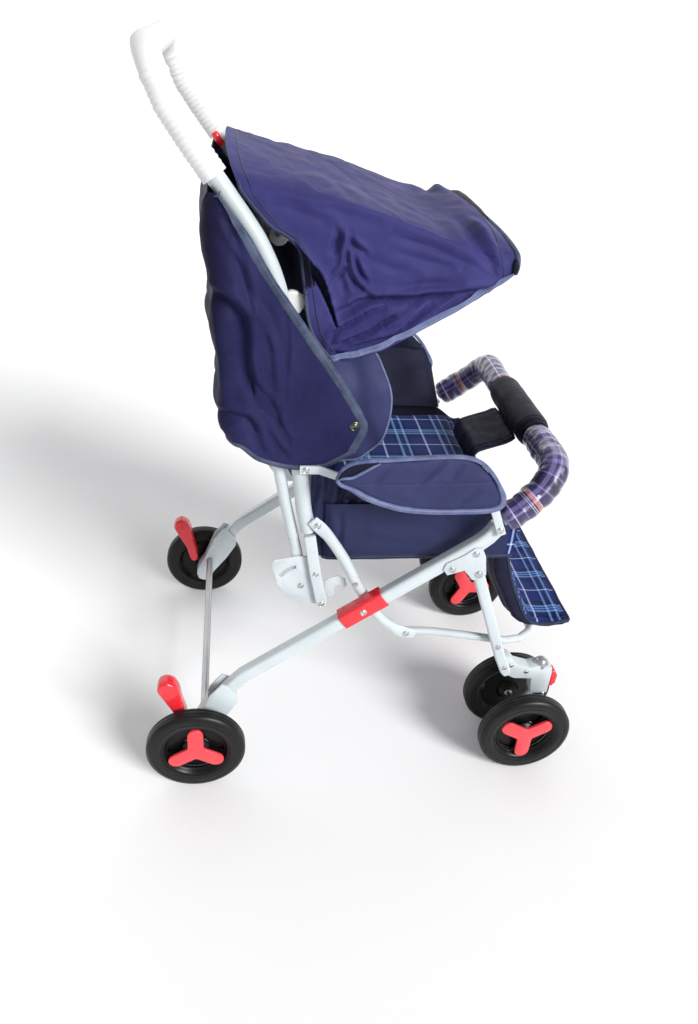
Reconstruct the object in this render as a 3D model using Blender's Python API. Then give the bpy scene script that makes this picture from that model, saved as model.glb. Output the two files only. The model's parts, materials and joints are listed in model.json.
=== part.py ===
import bpy
import bmesh
import math
from mathutils import Vector, Matrix

# ---------------------------------------------------------------- dimensions
# metres; +X front, +Z up, the right-hand side of the pram is -Y
X_MID = 0.2685          # side-view datum (rear wheel centre) to the middle of the length
WHEEL_R = 0.075         # tyre radius
TYRE_HALF = 0.013       # half the tyre width
TYRE_BORE = 0.0525
REAR_TRACK = 0.247      # rear wheel centre from the middle
AXLE_R = 0.004
BORE_R = 0.0045
PAIR_Y = 0.195          # front twin-wheel unit centre from the middle
PAIR_HALF = 0.049       # half the spacing of the two front wheels
STEM_X = 0.553
CASTER_X = 0.525
BAR_Y = 0.2105          # diagonal bar centre plane
BAR_A = 0.011           # half height of the diagonal bar section
BAR_B = 0.009           # half thickness of it
TUBE_H = 0.011          # handle tube radius
TUBE_C = 0.008          # curved tube radius
TUBE_R = 0.008          # backrest frame tube radius
TUBE_L = 0.006          # footrest tube radius
GRIP_R = 0.016
BOW_R = 0.004
BUMPER_TUBE_R = 0.008
SLEEVE_R = 0.022
PAD_R = 0.0255
GAP = 0.0003
CLOTH = 0.003

PIVOT = (0.2445, 0.3129)        # main fold pivot on the diagonal bar
KNEE = (0.407, 0.3785)          # front leg pivot
FOOT_PIVOT = (0.460, 0.235)     # footrest tube on the front leg
ARM_PIVOT = (0.4245, 0.455)     # arm rail on the bar's front end
SEAT_HINGE = (0.440, 0.447)
LEG_HINGE = (0.449, 0.440)
RECLINE = (0.155, 0.332)
HOOD = (0.1295, 0.747)
PEDAL = (-0.0165, 0.104)
LEVER = (0.5688, 0.1662)

for ob in list(bpy.data.objects):
    bpy.data.objects.remove(ob, do_unlink=True)


# ---------------------------------------------------------------- materials
def material(name, color, rough, metal=0.0):
    m = bpy.data.materials.new(name)
    m.use_nodes = True
    b = m.node_tree.nodes["Principled BSDF"]
    b.inputs["Base Color"].default_value = (*color, 1.0)
    b.inputs["Roughness"].default_value = rough
    b.inputs["Metallic"].default_value = metal
    m.diffuse_color = (*color, 1.0)
    return m


M_PAINT = material("silver_white_paint", (0.62, 0.68, 0.70), 0.35, 0.2)
M_STEEL = material("zinc_steel", (0.55, 0.56, 0.57), 0.35, 0.9)
M_WHITE = material("white_plastic", (0.82, 0.82, 0.80), 0.4)
M_RED = material("red_plastic", (0.80, 0.02, 0.035), 0.35)
M_BLACK = material("black_plastic", (0.012, 0.012, 0.013), 0.4)
M_TYRE = material("black_tyre", (0.01, 0.01, 0.011), 0.35)
M_NAVY = material("navy_fabric", (0.075, 0.065, 0.24), 0.6)
M_DARK = material("dark_navy_fabric", (0.02, 0.02, 0.06), 0.75)
M_PLAID = material("plaid_fabric", (0.03, 0.07, 0.30), 0.8)


# ---------------------------------------------------------------- mesh tools
def make(name, verts, faces, mat, origin=None, smooth=False):
    o = Vector(origin) if origin else Vector((0, 0, 0))
    if origin:
        o.x -= X_MID
    vs = [(v[0] - X_MID - o.x, v[1] - o.y, v[2] - o.z) for v in verts]
    me = bpy.data.meshes.new(name)
    me.from_pydata(vs, [], faces)
    bm = bmesh.new()
    bm.from_mesh(me)
    bmesh.ops.remove_doubles(bm, verts=bm.verts, dist=1e-6)
    bmesh.ops.recalc_face_normals(bm, faces=bm.faces)
    bm.to_mesh(me)
    bm.free()
    if smooth:
        for p in me.polygons:
            p.use_smooth = True
    ob = bpy.data.objects.new(name, me)
    ob.location = o
    ob.data.materials.append(mat)
    bpy.context.scene.collection.objects.link(ob)
    return ob


def boolean(ob, cutter, op):
    md = ob.modifiers.new("b", "BOOLEAN")
    md.operation = op
    md.solver = "EXACT"
    md.object = cutter
    dg = bpy.context.evaluated_depsgraph_get()
    me = bpy.data.meshes.new_from_object(ob.evaluated_get(dg))
    ob.modifiers.remove(md)
    old = ob.data
    ob.data = me
    me.name = ob.name
    bpy.data.meshes.remove(old)
    bpy.data.objects.remove(cutter, do_unlink=True)
    bm = bmesh.new()
    bm.from_mesh(me)
    bmesh.ops.remove_doubles(bm, verts=bm.verts, dist=1e-5)
    bmesh.ops.dissolve_degenerate(bm, edges=bm.edges, dist=1e-6)
    bm.to_mesh(me)
    bm.free()
    return ob


def side(points, s):
    """Mirror a list of (x, y, z) to the side s: -1 right, +1 left."""
    return [(p[0], s * p[1], p[2]) for p in points]


def catmull(pts, n):
    """Smooth curve through the points, n steps for each span."""
    P = [Vector(p) for p in pts]
    P = [2 * P[0] - P[1]] + P + [2 * P[-1] - P[-2]]
    out = []
    for i in range(1, len(P) - 2):
        a, b, c, d = P[i - 1 : i + 3]
        for k in range(n):
            t = k / n
            out.append(
                0.5
                * (
                    2 * b
                    + (c - a) * t
                    + (2 * a - 5 * b + 4 * c - d) * t * t
                    + (3 * b - a - 3 * c + d) * t**3
                )
            )
    out.append(P[-2])
    return out


def bend(pts, radii, n=5):
    """Polyline with the corners named in radii {index: radius} rounded."""
    P = [Vector(p) for p in pts]
    out = []
    for i, p in enumerate(P):
        r = radii.get(i)
        if not r:
            out.append(p)
            continue
        a = (P[i - 1] - p).normalized()
        b = (P[i + 1] - p).normalized()
        half = a.angle(b) / 2
        d = r / math.tan(half)
        c = p + (a + b).normalized() * (r / math.sin(half))
        u = (p + a * d) - c
        w = (p + b * d) - c
        tot = u.angle(w)
        for k in range(n + 1):
            t = k / n
            out.append(c + (u * math.sin((1 - t) * tot) + w * math.sin(t * tot)) / math.sin(tot))
    return out


def frames(path):
    """Tangent and two section axes, carried along without twist."""
    P = [Vector(p) for p in path]
    T = []
    for i in range(len(P)):
        a = (P[i] - P[i - 1]).normalized() if i else None
        b = (P[i + 1] - P[i]).normalized() if i < len(P) - 1 else None
        T.append(((a or b) + (b or a)).normalized())
    n = Vector((0, 0, 1)) if abs(T[0].y) > 0.9 else Vector((0, 1, 0))
    n = (n - T[0] * n.dot(T[0])).normalized()
    out = []
    for i, t in enumerate(T):
        if i:
            q = T[i - 1].rotation_difference(t)
            n = q @ n
            n = (n - t * n.dot(t)).normalized()
        out.append((P[i], t, n, t.cross(n)))
    return out


def rings_to_faces(m, k, base=0, flip=False):
    f = []
    for i in range(m - 1):
        for j in range(k):
            a = base + i * k + j
            b = base + i * k + (j + 1) % k
            q = (a, b, b + k, a + k)
            f.append(q[::-1] if flip else q)
    return f


def tube(name, path, r, mat, seg=10, origin=None):
    fr = frames(path)
    vs = []
    for i, (p, t, n, b) in enumerate(fr):
        rr = r[i] if isinstance(r, (list, tuple)) else r
        for j in range(seg):
            a = 2 * math.pi * (j + 0.5) / seg
            vs.append(p + n * (rr * math.cos(a)) + b * (rr * math.sin(a)))
    fs = rings_to_faces(len(fr), seg)
    m = len(fr) * seg
    fs.append(tuple(range(seg)))
    fs.append(tuple(range(m - seg, m)))
    return make(name, vs, fs, mat, origin, True)


def sleeve(name, path, r_in, r_out, mat, seg=12, origin=None):
    """A tube with a bore; r_out is one radius, or one for each station."""
    fr = frames(path)
    vs = []
    for which in (0, 1):
        for i, (p, t, n, b) in enumerate(fr):
            ro = r_out[i] if isinstance(r_out, (list, tuple)) else r_out
            rr = ro if which == 0 else r_in / math.cos(math.pi / seg)
            for j in range(seg):
                a = 2 * math.pi * (j + 0.5) / seg
                vs.append(p + n * (rr * math.cos(a)) + b * (rr * math.sin(a)))
    m = len(fr) * seg
    fs = rings_to_faces(len(fr), seg) + rings_to_faces(len(fr), seg, m, True)
    for j in range(seg):
        k = (j + 1) % seg
        fs.append((j, k, m + k, m + j))
        e = m - seg
        fs.append((e + k, e + j, m + e + j, m + e + k))
    return make(name, vs, fs, mat, origin, True)


def strap(name, path, a, b, mat, cut=0.3, origin=None, seg8=True):
    """A bar swept in side view: a is its half height in the side plane, b its half thickness across."""
    P = [Vector(p) for p in path]
    vs = []
    for i, p in enumerate(P):
        aa = a[i] if isinstance(a, (list, tuple)) else a
        bb = b[i] if isinstance(b, (list, tuple)) else b
        t0 = P[i] - P[i - 1] if i else P[1] - P[0]
        t1 = P[i + 1] - P[i] if i < len(P) - 1 else t0
        t0 = Vector((t0.x, 0, t0.z)).normalized()
        t1 = Vector((t1.x, 0, t1.z)).normalized()
        t = (t0 + t1).normalized()
        n = Vector((-t.z, 0, t.x))
        k = 1.0 / max(0.6, t.dot(t1))
        c = cut * min(aa, bb)
        ring = [
            (aa, bb - c), (aa - c, bb), (c - aa, bb), (-aa, bb - c),
            (-aa, c - bb), (c - aa, -bb), (aa - c, -bb), (aa, c - bb),
        ]
        for u, w in ring:
            vs.append(p + n * (u * k) + Vector((0, w, 0)))
    fs = rings_to_faces(len(P), 8)
    m = len(P) * 8
    fs.append(tuple(range(8)))
    fs.append(tuple(range(m - 8, m)))
    return make(name, vs, fs, mat, origin)


def flat_tube(name, path, a, b, mat, seg=10, origin=None):
    """A tube whose ends are pressed flat: a and b are half sizes for each station."""
    P = [Vector(p) for p in path]
    vs = []
    for i, p in enumerate(P):
        t0 = P[i] - P[i - 1] if i else P[1] - P[0]
        t1 = P[i + 1] - P[i] if i < len(P) - 1 else t0
        t = Vector((t0.x, 0, t0.z)).normalized() + Vector((t1.x, 0, t1.z)).normalized()
        t = t.normalized()
        n = Vector((-t.z, 0, t.x))
        for j in range(seg):
            g = 2 * math.pi * (j + 0.5) / seg
            vs.append(p + n * (a[i] * math.cos(g)) + Vector((0, b[i] * math.sin(g), 0)))
    fs = rings_to_faces(len(P), seg)
    m = len(P) * seg
    fs.append(tuple(range(seg)))
    fs.append(tuple(range(m - seg, m)))
    return make(name, vs, fs, mat, origin, True)


def prism(name, outline, y0, y1, mat, origin=None, inset=0.0):
    """A side-view outline made thick from y0 to y1, optionally with softened edges."""
    k = len(outline)
    cx = sum(p[0] for p in outline) / k
    cz = sum(p[1] for p in outline) / k
    layers = [(y0, 1.0), (y1, 1.0)]
    if inset:
        d = inset * (1 if y1 > y0 else -1)
        ext = max(max(abs(p[0] - cx), abs(p[1] - cz)) for p in outline)
        g = 1 - inset / ext
        layers = [(y0, g), (y0 + d, 1.0), (y1 - d, 1.0), (y1, g)]
    vs = []
    for y, g in layers:
        vs += [(cx + (p[0] - cx) * g, y, cz + (p[1] - cz) * g) for p in outline]
    fs = rings_to_faces(len(layers), k)
    m = len(layers) * k
    fs.append(tuple(range(k)))
    fs.append(tuple(range(m - k, m)))
    return make(name, vs, fs, mat, origin)


def rod(x, z, r, y0, y1, seg=12):
    """A throw-away cross rod for boolean work."""
    o = [(x + r * math.cos(2 * math.pi * i / seg), z + r * math.sin(2 * math.pi * i / seg)) for i in range(seg)]
    return prism("tool", o, y0, y1, M_STEEL)


def post(x, y, r, z0, z1, seg=12):
    vs = []
    for z in (z0, z1):
        vs += [(x + r * math.cos(2 * math.pi * i / seg), y + r * math.sin(2 * math.pi * i / seg), z) for i in range(seg)]
    fs = rings_to_faces(2, seg) + [tuple(range(seg)), tuple(range(seg, 2 * seg))]
    return make("tool", vs, fs, M_STEEL)


def side_fall(t, edge):
    """Thickness factor across a pad: flat in the middle, thinner at the sides."""
    return 1 - (1 - edge) * (max(0.0, abs(t) - 0.66) / 0.34) ** 2


def slab_x(name, stations, half_y, mat, origin=None, rows=6, crown=0.0, edge=0.35):
    """A pad swept in side view from (lower, upper) point pairs; half_y is its half width."""
    vs = []
    ring = 0
    for lo, up in stations:
        lo = Vector((lo[0], 0, lo[1]))
        up = Vector((up[0], 0, up[1]))
        mid = (lo + up) / 2
        h = (up - lo) / 2
        prof = []
        for i in range(rows + 1):
            t = -1 + 2 * i / rows
            fall = side_fall(t, edge)
            prof.append((t * half_y, fall + crown * (1 - t * t)))
        pts = [mid + h * g + Vector((0, y, 0)) for y, g in prof]
        pts += [mid - h * side_fall(-1 + 2 * i / rows, edge) + Vector((0, prof[i][0], 0)) for i in range(rows, -1, -1)]
        ring = len(pts)
        vs += pts
    fs = rings_to_faces(len(stations), ring)
    m = len(vs)
    fs.append(tuple(range(ring)))
    fs.append(tuple(range(m - ring, m)))
    return make(name, vs, fs, mat, origin, True)


def cloth_solid(name, grid, mat, thick=CLOTH, origin=None):
    """A closed sheet of one thickness; grid[i][j] is its outer face and the thickness goes inwards."""
    R, C = len(grid), len(grid[0])
    G = [[Vector(p) for p in row] for row in grid]
    vs = [p for row in G for p in row]
    inner = []
    for i in range(R):
        for j in range(C):
            du = G[min(i + 1, R - 1)][j] - G[max(i - 1, 0)][j]
            dv = G[i][min(j + 1, C - 1)] - G[i][max(j - 1, 0)]
            n = du.cross(dv)
            n.normalize()
            inner.append(G[i][j] - n * thick)
    vs += inner
    fs = []
    b = R * C
    for i in range(R - 1):
        for j in range(C - 1):
            q = (i * C + j, i * C + j + 1, (i + 1) * C + j + 1, (i + 1) * C + j)
            fs.append(q)
            fs.append(tuple(b + v for v in q[::-1]))
    loop = [j for j in range(C)] + [i * C + C - 1 for i in range(1, R)]
    loop += [(R - 1) * C + j for j in range(C - 2, -1, -1)] + [i * C for i in range(R - 2, 0, -1)]
    for a, c in zip(loop, loop[1:] + loop[:1]):
        fs.append((a, c, b + c, b + a))
    return make(name, vs, fs, mat, origin, True)


# ---------------------------------------------------------------- wheels
def tyre(name, x, y, origin):
    n = 28
    prof = [
        (TYRE_BORE, -0.0105), (0.0620, -TYRE_HALF), (0.0705, -0.0120), (WHEEL_R, -0.0075),
        (WHEEL_R, 0.0075), (0.0705, 0.0120), (0.0620, TYRE_HALF), (TYRE_BORE, 0.0105),
    ]
    k = 1 / math.cos(math.pi / n)
    vs = []
    for i in range(n):
        a = 2 * math.pi * (i + 0.5) / n
        for r, w in prof:
            vs.append((x + r * k * math.cos(a), y + w, WHEEL_R + r * k * math.sin(a)))
    c = len(prof)
    fs = []
    for i in range(n):
        i2 = (i + 1) % n
        for j in range(c):
            j2 = (j + 1) % c
            fs.append((i * c + j, i * c + j2, i2 * c + j2, i2 * c + j))
    return make(name, vs, fs, M_TYRE, origin, True)


def hub(name, x, y, s, arm_deg, origin):
    """Dished hub with three windows; its outer face looks to the side s."""
    n = 24
    rim = [(0.0521, -0.0105), (0.0521, 0.0105), (0.0492, 0.0105), (0.0440, 0.0030), (0.0440, -0.0010), (0.0492, -0.0105)]
    boss = [(0.0200, -0.0010), (0.0200, 0.0030), (0.0125, 0.0085), (BORE_R, 0.0085), (BORE_R, -0.0115), (0.0125, -0.0115)]
    kb = 1 / math.cos(math.pi / n)
    vs = []
    for i in range(n):
        a = math.radians(arm_deg) + 2 * math.pi * (i - 1.5) / n
        for r, w in rim + boss:
            q = r * kb if r == BORE_R else r
            vs.append((x + q * math.cos(a), y + s * w, WHEEL_R + q * math.sin(a)))
    c = 12
    fs = []
    arm = [(i % 8) < 3 for i in range(n)]
    for i in range(n):
        p, q = i * c, ((i + 1) % n) * c

        def quad(j, k):
            fs.append((p + j, p + k, q + k, q + j))

        for j, k in ((0, 1), (1, 2), (2, 3), (4, 5), (5, 0), (7, 8), (8, 9), (9, 10), (10, 11), (11, 6)):
            quad(j, k)
        if arm[i]:
            quad(3, 7)
            quad(6, 4)
        else:
            quad(3, 4)
            quad(6, 7)
        if arm[i] != arm[i - 1]:
            fs.append((p + 3, p + 4, p + 6, p + 7))
    return make(name, vs, fs, M_BLACK, origin, True)


for tag, s in (("right", -1), ("left", 1)):
    o = (0.0, s * REAR_TRACK, WHEEL_R)
    tyre("rear_tyre_" + tag, 0.0, s * REAR_TRACK, o)
    hub("rear_hub_" + tag, 0.0, s * REAR_TRACK, s, 90, o)
    for pos, q, deg in (("outer", 1, 30), ("inner", -1, 0)):
        y = s * (PAIR_Y + q * PAIR_HALF)
        o = (CASTER_X, y, WHEEL_R)
        tyre("front_tyre_%s_%s" % (pos, tag), CASTER_X, y, o)
        hub("front_hub_%s_%s" % (pos, tag), CASTER_X, y, s * q, deg, o)

# ---------------------------------------------------------------- chassis
for tag, s in (("right", -1), ("left", 1)):
    y = s * BAR_Y
    bar = [
        (0.0375, y, 0.1450), (0.052, y, 0.165), (0.073, y, 0.1885), (0.105, y, 0.2123), (0.2445, y, 0.3129),
        (0.402, y, 0.4265), (0.4135, y, 0.4375), (0.4205, y, 0.4475), (0.4245, y, 0.457),
    ]
    strap("diagonal_bar_" + tag, bar, BAR_A, BAR_B, M_PAINT, 0.3)

    # red sleeve round the bar at the fold pivot
    c = Vector((PIVOT[0], y, PIVOT[1]))
    t = Vector((0.402 - 0.105, 0, 0.4265 - 0.2123)).normalized()
    n = Vector((-t.z, 0, t.x))
    vs = []
    for a, b in ((BAR_A + 0.0023, BAR_B + 0.0022), (BAR_A + GAP, BAR_B + GAP)):
        for e in (-0.036, 0.036):
            g = 0.0025
            for u, w in ((a, b - g), (a - g, b), (g - a, b), (-a, b - g), (-a, g - b), (g - a, -b), (a - g, -b), (a, g - b)):
                vs.append(c + t * e + n * u + Vector((0, w, 0)))
    fs = rings_to_faces(2, 8) + rings_to_faces(2, 8, 16, True)
    for j in range(8):
        k = (j + 1) % 8
        fs.append((j, k, 16 + k, 16 + j))
        fs.append((8 + k, 8 + j, 24 + j, 24 + k))
    make("pivot_sleeve_" + tag, vs, fs, M_RED)

    # folded channel that holds the bar's foot and the rear axle
    o = [
        (-0.014, 0.075), (-0.010, 0.0625), (0.0, 0.058), (0.011, 0.0625), (0.020, 0.080), (0.045, 0.112),
        (0.062, 0.140), (0.064, 0.152), (0.050, 0.176), (0.040, 0.180), (0.022, 0.158), (0.002, 0.110), (-0.010, 0.090),
    ]
    br = prism("rear_bracket_" + tag, o, s * 0.1975, s * 0.2230, M_PAINT)
    cut = prism("tool", [(0.0105, 0.1550), (0.0600, 0.1190), (0.105, 0.18), (0.055, 0.215)], s * 0.2010, s * 0.2200, M_STEEL)
    boolean(br, cut, "DIFFERENCE")
    boolean(br, rod(0.0, WHEEL_R, AXLE_R, s * 0.2215, s * 0.2575), "UNION")

    # gusset outside the bar with the front leg's pivot pin
    o = [
        (0.356, 0.398), (0.353, 0.388), (0.360, 0.378), (0.384, 0.386), (0.398, 0.369), (0.410, 0.3685),
        (0.4175, 0.378), (0.412, 0.410), (0.405, 0.424), (0.394, 0.424), (0.380, 0.412),
    ]
    gp = prism("front_gusset_" + tag, o, s * 0.2200, s * 0.2222, M_PAINT)

tube("rear_cross_tube", [(0.012, -0.1971, 0.108), (0.012, 0.1971, 0.108)], 0.006, M_STEEL, 12)

# removable bumper bar
half = [(0.4300, 0.2105, 0.4632), (0.452, 0.2080, 0.4795), (0.480, 0.2010, 0.5030), (0.5035, 0.1900, 0.5340)]
full = [(p[0], -p[1], p[2]) for p in half] + [half[3][:1] + (0.19,) + half[3][2:]] + half[2::-1]
path = bend(full, {3: 0.034, 4: 0.034}, 5)
path = [p for p in path]
tube("bumper_tube", path, BUMPER_TUBE_R, M_PAINT, 10)
# the sleeves start 14 mm up the tube and end beside the pad
right = [p for p in path if p.y < -0.09]
d0 = (Vector(half[1]) - Vector(half[0])).normalized()
for tag, s in (("right", -1), ("left", 1)):
    first = Vector(half[0]) + d0 * 0.014
    seq = [Vector((first.x, -first.y, first.z))] + right[1:] + [Vector((0.5035, -0.0853, 0.5340))]
    seq = [Vector((p.x, -s * p.y, p.z)) if s > 0 else p for p in seq]
    seq = [Vector((p.x, s * abs(p.y), p.z)) for p in seq]
    sleeve("bumper_sleeve_" + tag, seq, BUMPER_TUBE_R + GAP, SLEEVE_R, M_PLAID, 12)
sleeve(
    "bumper_pad",
    [(0.5035, y, 0.5340) for y in (-0.0850, -0.078, -0.03, 0.03, 0.078, 0.0850)],
    BUMPER_TUBE_R + GAP, [SLEEVE_R, PAD_R, PAD_R, PAD_R, PAD_R, SLEEVE_R], M_DARK, 14,
)
slab_x(
    "crotch_strap",
    [
        ((0.4906, 0.5114), (0.4851, 0.5155)), ((0.4750, 0.5015), (0.4722, 0.5082)), ((0.4570, 0.4955), (0.4548, 0.5022)), ((0.4410, 0.4900), (0.4385, 0.4968)),
        ((0.4325, 0.4855), (0.4265, 0.4915)), ((0.4282, 0.4770), (0.4203, 0.4785)), ((0.4270, 0.4625), (0.4195, 0.4625)),
    ],
    0.057, M_DARK, rows=4,
)

# ---------------------------------------------------------------- handle body
PV3 = (PIVOT[0], 0.0, PIVOT[1])
hp = [
    (0.1628, 0.178, 0.4290), (0.155, 0.178, 0.4595), (0.145, 0.178, 0.5375), (0.1285, 0.178, 0.650), (0.113, 0.1765, 0.764),
    (0.103, 0.1745, 0.792), (0.088, 0.172, 0.822), (0.066, 0.169, 0.853), (0.0405, 0.166, 0.886), (0.015, 0.1625, 0.920),
    (-0.008, 0.1595, 0.953),
]
corner = (-0.0300, 0.156, 1.0040)
full = side(hp, -1) + side([corner], -1) + [corner] + hp[::-1]
hpath = bend(full, {11: 0.030, 12: 0.030}, 5)
tube("handle_tube", hpath, TUBE_H, M_PAINT, 10, PV3)
gpath = [p for p in hpath if p.z > 0.8855]
sleeve("handle_grip", gpath, TUBE_H + GAP, GRIP_R, M_WHITE, 10, PV3)

for tag, s in (("right", -1), ("left", 1)):
    cp = [
        (0.166, 0.1915, 0.4530), (0.178, 0.1915, 0.4400), (0.192, 0.1908, 0.4230), (0.216, 0.1905, 0.3840), (0.236, 0.1905, 0.3420),
        (0.2445, 0.1905, 0.3270), (0.259, 0.1905, 0.3020), (0.279, 0.1905, 0.2755), (0.300, 0.1920, 0.2580), (0.315, 0.1945, 0.2500), (0.333, 0.1945, 0.2440),
    ]
    a = [0.0080, 0.0095, 0.0082] + [TUBE_C] * 5 + [0.0088, 0.0098, 0.0080]
    b = [0.0019, 0.0019, 0.0060] + [TUBE_C * 0.98] * 5 + [0.0060, 0.0019, 0.0019]
    flat_tube("curved_tube_" + tag, side(cp, s), a, b, M_PAINT, 10, PV3)
    lp = [(0.1640, 0.1845, 0.4240), (0.1690, 0.1845, 0.3950), (0.1755, 0.1845, 0.3560), (0.1860, 0.1845, 0.3090), (0.1885, 0.1845, 0.2990)]
    strap("leg_channel_" + tag, side(lp, s), [0.0085, 0.0085, 0.0085, 0.0085, 0.0055], 0.0045, M_PAINT, 0.3, PV3)
    o = [
        (0.1115, 0.371), (0.116, 0.378), (0.147, 0.384), (0.168, 0.384), (0.179, 0.362), (0.192, 0.308),
        (0.187, 0.297), (0.158, 0.300), (0.136, 0.313), (0.122, 0.333),
    ]
    sp = prism("sector_plate_" + tag, o, s * 0.1773, s * 0.1797, M_PAINT, PV3)
    arc = []
    for r, rng in ((0.0375, range(0, 7)), (0.0315, range(6, -1, -1))):
        for k in rng:
            g = math.radians(103 + 8 * k)
            arc.append((RECLINE[0] + r * math.cos(g), RECLINE[1] + r * math.sin(g)))
    cut = prism("tool", arc, s * 0.1700, s * 0.1850, M_STEEL)
    boolean(sp, cut, "DIFFERENCE")
    o = [(HOOD[0] + 0.0155 * math.cos(g * math.pi / 8), HOOD[1] + 0.0155 * math.sin(g * math.pi / 8)) for g in range(16)]
    prism("hood_hinge_" + tag, o, s * 0.1560, s * 0.1652, M_WHITE, PV3, 0.0015)


def lerp_table(tab, z):
    for (z0, v0), (z1, v1) in zip(tab, tab[1:]):
        if z0 <= z <= z1:
            return v0 + (v1 - v0) * (z - z0) / (z1 - z0)
    return tab[0][1] if z < tab[0][0] else tab[-1][1]


FLAP = [(0.545, 0.205), (0.572, 0.222), (0.604, 0.225), (0.635, 0.208), (0.665, 0.189), (0.70, 0.165), (0.739, 0.137), (0.765, 0.1010), (0.80, 0.083), (0.829, 0.066), (0.874, 0.045)]
REAR = [(0.545, 0.085), (0.560, 0.066), (0.581, 0.048), (0.64, 0.036), (0.70, 0.031), (0.76, 0.028), (0.826, 0.024), (0.874, 0.026)]
grid = []
for z in (0.545, 0.558, 0.581, 0.610, 0.650, 0.695, 0.739, 0.768, 0.800, 0.835, 0.874):
    xf, xr = lerp_table(FLAP, z), lerp_table(REAR, z)
    c = min(0.030, (xf - xr) * 0.9)
    row = [(xf, -0.1935), (xf * 0.5 + (xr + c) * 0.5, -0.1935), (xr + c, -0.1935), (xr + 0.3 * c, -0.1935 + 0.3 * c), (xr, -0.1935 + c)]
    row += [(xr, -0.08), (xr, 0.0)]
    row = row + [(p[0], -p[1]) for p in row[-2::-1]]
    grid.append([(p[0], p[1], z) for p in row])
cover = cloth_solid("back_cover", [r[::-1] for r in grid], M_NAVY, CLOTH, PV3)

# ---------------------------------------------------------------- reclining frame
RC3 = (RECLINE[0], 0.0, RECLINE[1])
rl = [
    (0.1570, 0.17495, 0.3240, 0.0060, 0.0019), (0.1550, 0.17495, 0.3320, 0.0080, 0.0019), (0.1500, 0.17495, 0.3720, 0.0088, 0.0019), (0.1480, 0.1725, 0.3860, 0.0084, 0.0040),
    (0.1455, 0.1700, 0.3980, TUBE_R, TUBE_R), (0.1280, 0.1700, 0.4770, TUBE_R, TUBE_R), (0.1170, 0.1700, 0.5350, TUBE_R, TUBE_R), (0.1000, 0.1680, 0.6300, TUBE_R, TUBE_R),
    (0.0830, 0.1640, 0.7250, TUBE_R, TUBE_R),
]
# the flattened ends and the round U are one swept body
P = [Vector((p[0], -p[1], p[2])) for p in rl] + [Vector((0.0700, -0.1600, 0.7970)), Vector((0.0700, 0.1600, 0.7970))] + [Vector((p[0], p[1], p[2])) for p in rl[::-1]]
A = [(p[3], p[4]) for p in rl]
pth = bend(P, {9: 0.028, 10: 0.028}, 4)
AB = A + [(TUBE_R, TUBE_R)] * (len(pth) - 2 * len(A)) + A[::-1]
fr = frames(pth)
vs = []
for (p, t, n, b), (ha, hb) in zip(fr, AB):
    for j in range(10):
        g = 2 * math.pi * (j + 0.5) / 10
        vs.append(p + n * (hb * math.cos(g)) + b * (ha * math.sin(g)))
fs = rings_to_faces(len(pth), 10) + [tuple(range(10)), tuple(range(len(vs) - 10, len(vs)))]
make("recline_frame", vs, fs, M_PAINT, RC3, True)


def frame_x(z):
    return lerp_table([(0.398, 0.1455), (0.477, 0.128), (0.535, 0.117), (0.63, 0.100), (0.725, 0.083), (0.797, 0.070), (0.82, 0.066)], z)


st = []
for z in (0.476, 0.482, 0.55, 0.62, 0.69, 0.75, 0.804, 0.811):
    x = frame_x(z)
    e = 0.006 if z in (0.476, 0.811) else 0.0
    st.append(((x + 0.0095 + e, z), (x + 0.0325 - e, z)))
slab_x("backrest_pad", st, 0.146, M_DARK, RC3, rows=8)

# ---------------------------------------------------------------- hood
HD3 = (HOOD[0], 0.0, HOOD[1])
half = [(0.1295, 0.1515, 0.7470), (0.20, 0.1540, 0.7640), (0.30, 0.1600, 0.7870), (0.3900, 0.1650, 0.8090)]
full = side(half, -1) + half[::-1]
tube("hood_bow", bend(full, {3: 0.030, 4: 0.030}, 5), BOW_R, M_WHITE, 8, HD3)

HEM = [(0.0, (0.190, 0.671)), (0.25, (0.246, 0.694)), (0.5, (0.302, 0.721)), (0.75, (0.352, 0.760)), (1.0, (0.400, 0.7985))]
SHOULDER = [(0.0, (0.078, 0.864)), (0.2, (0.134, 0.866)), (0.4, (0.193, 0.863)), (0.6, (0.250, 0.850)), (0.85, (0.333, 0.826)), (1.0, (0.398, 0.812))]
RIDGE = [(0.0, (0.052, 0.914)), (0.15, (0.094, 0.904)), (0.3, (0.139, 0.896)), (0.45, (0.184, 0.886)), (0.65, (0.251, 0.873)), (0.8, (0.312, 0.858)), (0.92, (0.364, 0.842)), (1.0, (0.3975, 0.8215))]


def on(tab, u):
    for (u0, a), (u1, b) in zip(tab, tab[1:]):
        if u <= u1 + 1e-9:
            t = (u - u0) / (u1 - u0)
            return (a[0] + (b[0] - a[0]) * t, a[1] + (b[1] - a[1]) * t)
    return tab[-1][1]


grid = []
for i in range(10):
    u = i / 9
    h, sh, rg = on(HEM, u), on(SHOULDER, u), on(RIDGE, u)
    row = []
    for k in range(4):
        w = k / 3 * 0.92
        bul = math.sin(math.pi * w) * 0.010 * (1 - u)
        row.append((h[0] + (sh[0] - h[0]) * w + bul, -0.1725 - 0.002 * math.sin(math.pi * w), h[1] + (sh[1] - h[1]) * w))
    for k in range(1, 6):
        t = math.radians(90 * k / 5)
        row.append((sh[0] + (rg[0] - sh[0]) * math.sin(t), -0.1725 * math.cos(t) ** 0.75 if k < 5 else 0.0, sh[1] + (rg[1] - sh[1]) * math.sin(t)))
    row = row + [(p[0], -p[1], p[2]) for p in row[-2::-1]]
    grid.append(row)
cloth_solid("canopy", grid, M_NAVY, CLOTH, HD3)

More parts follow.
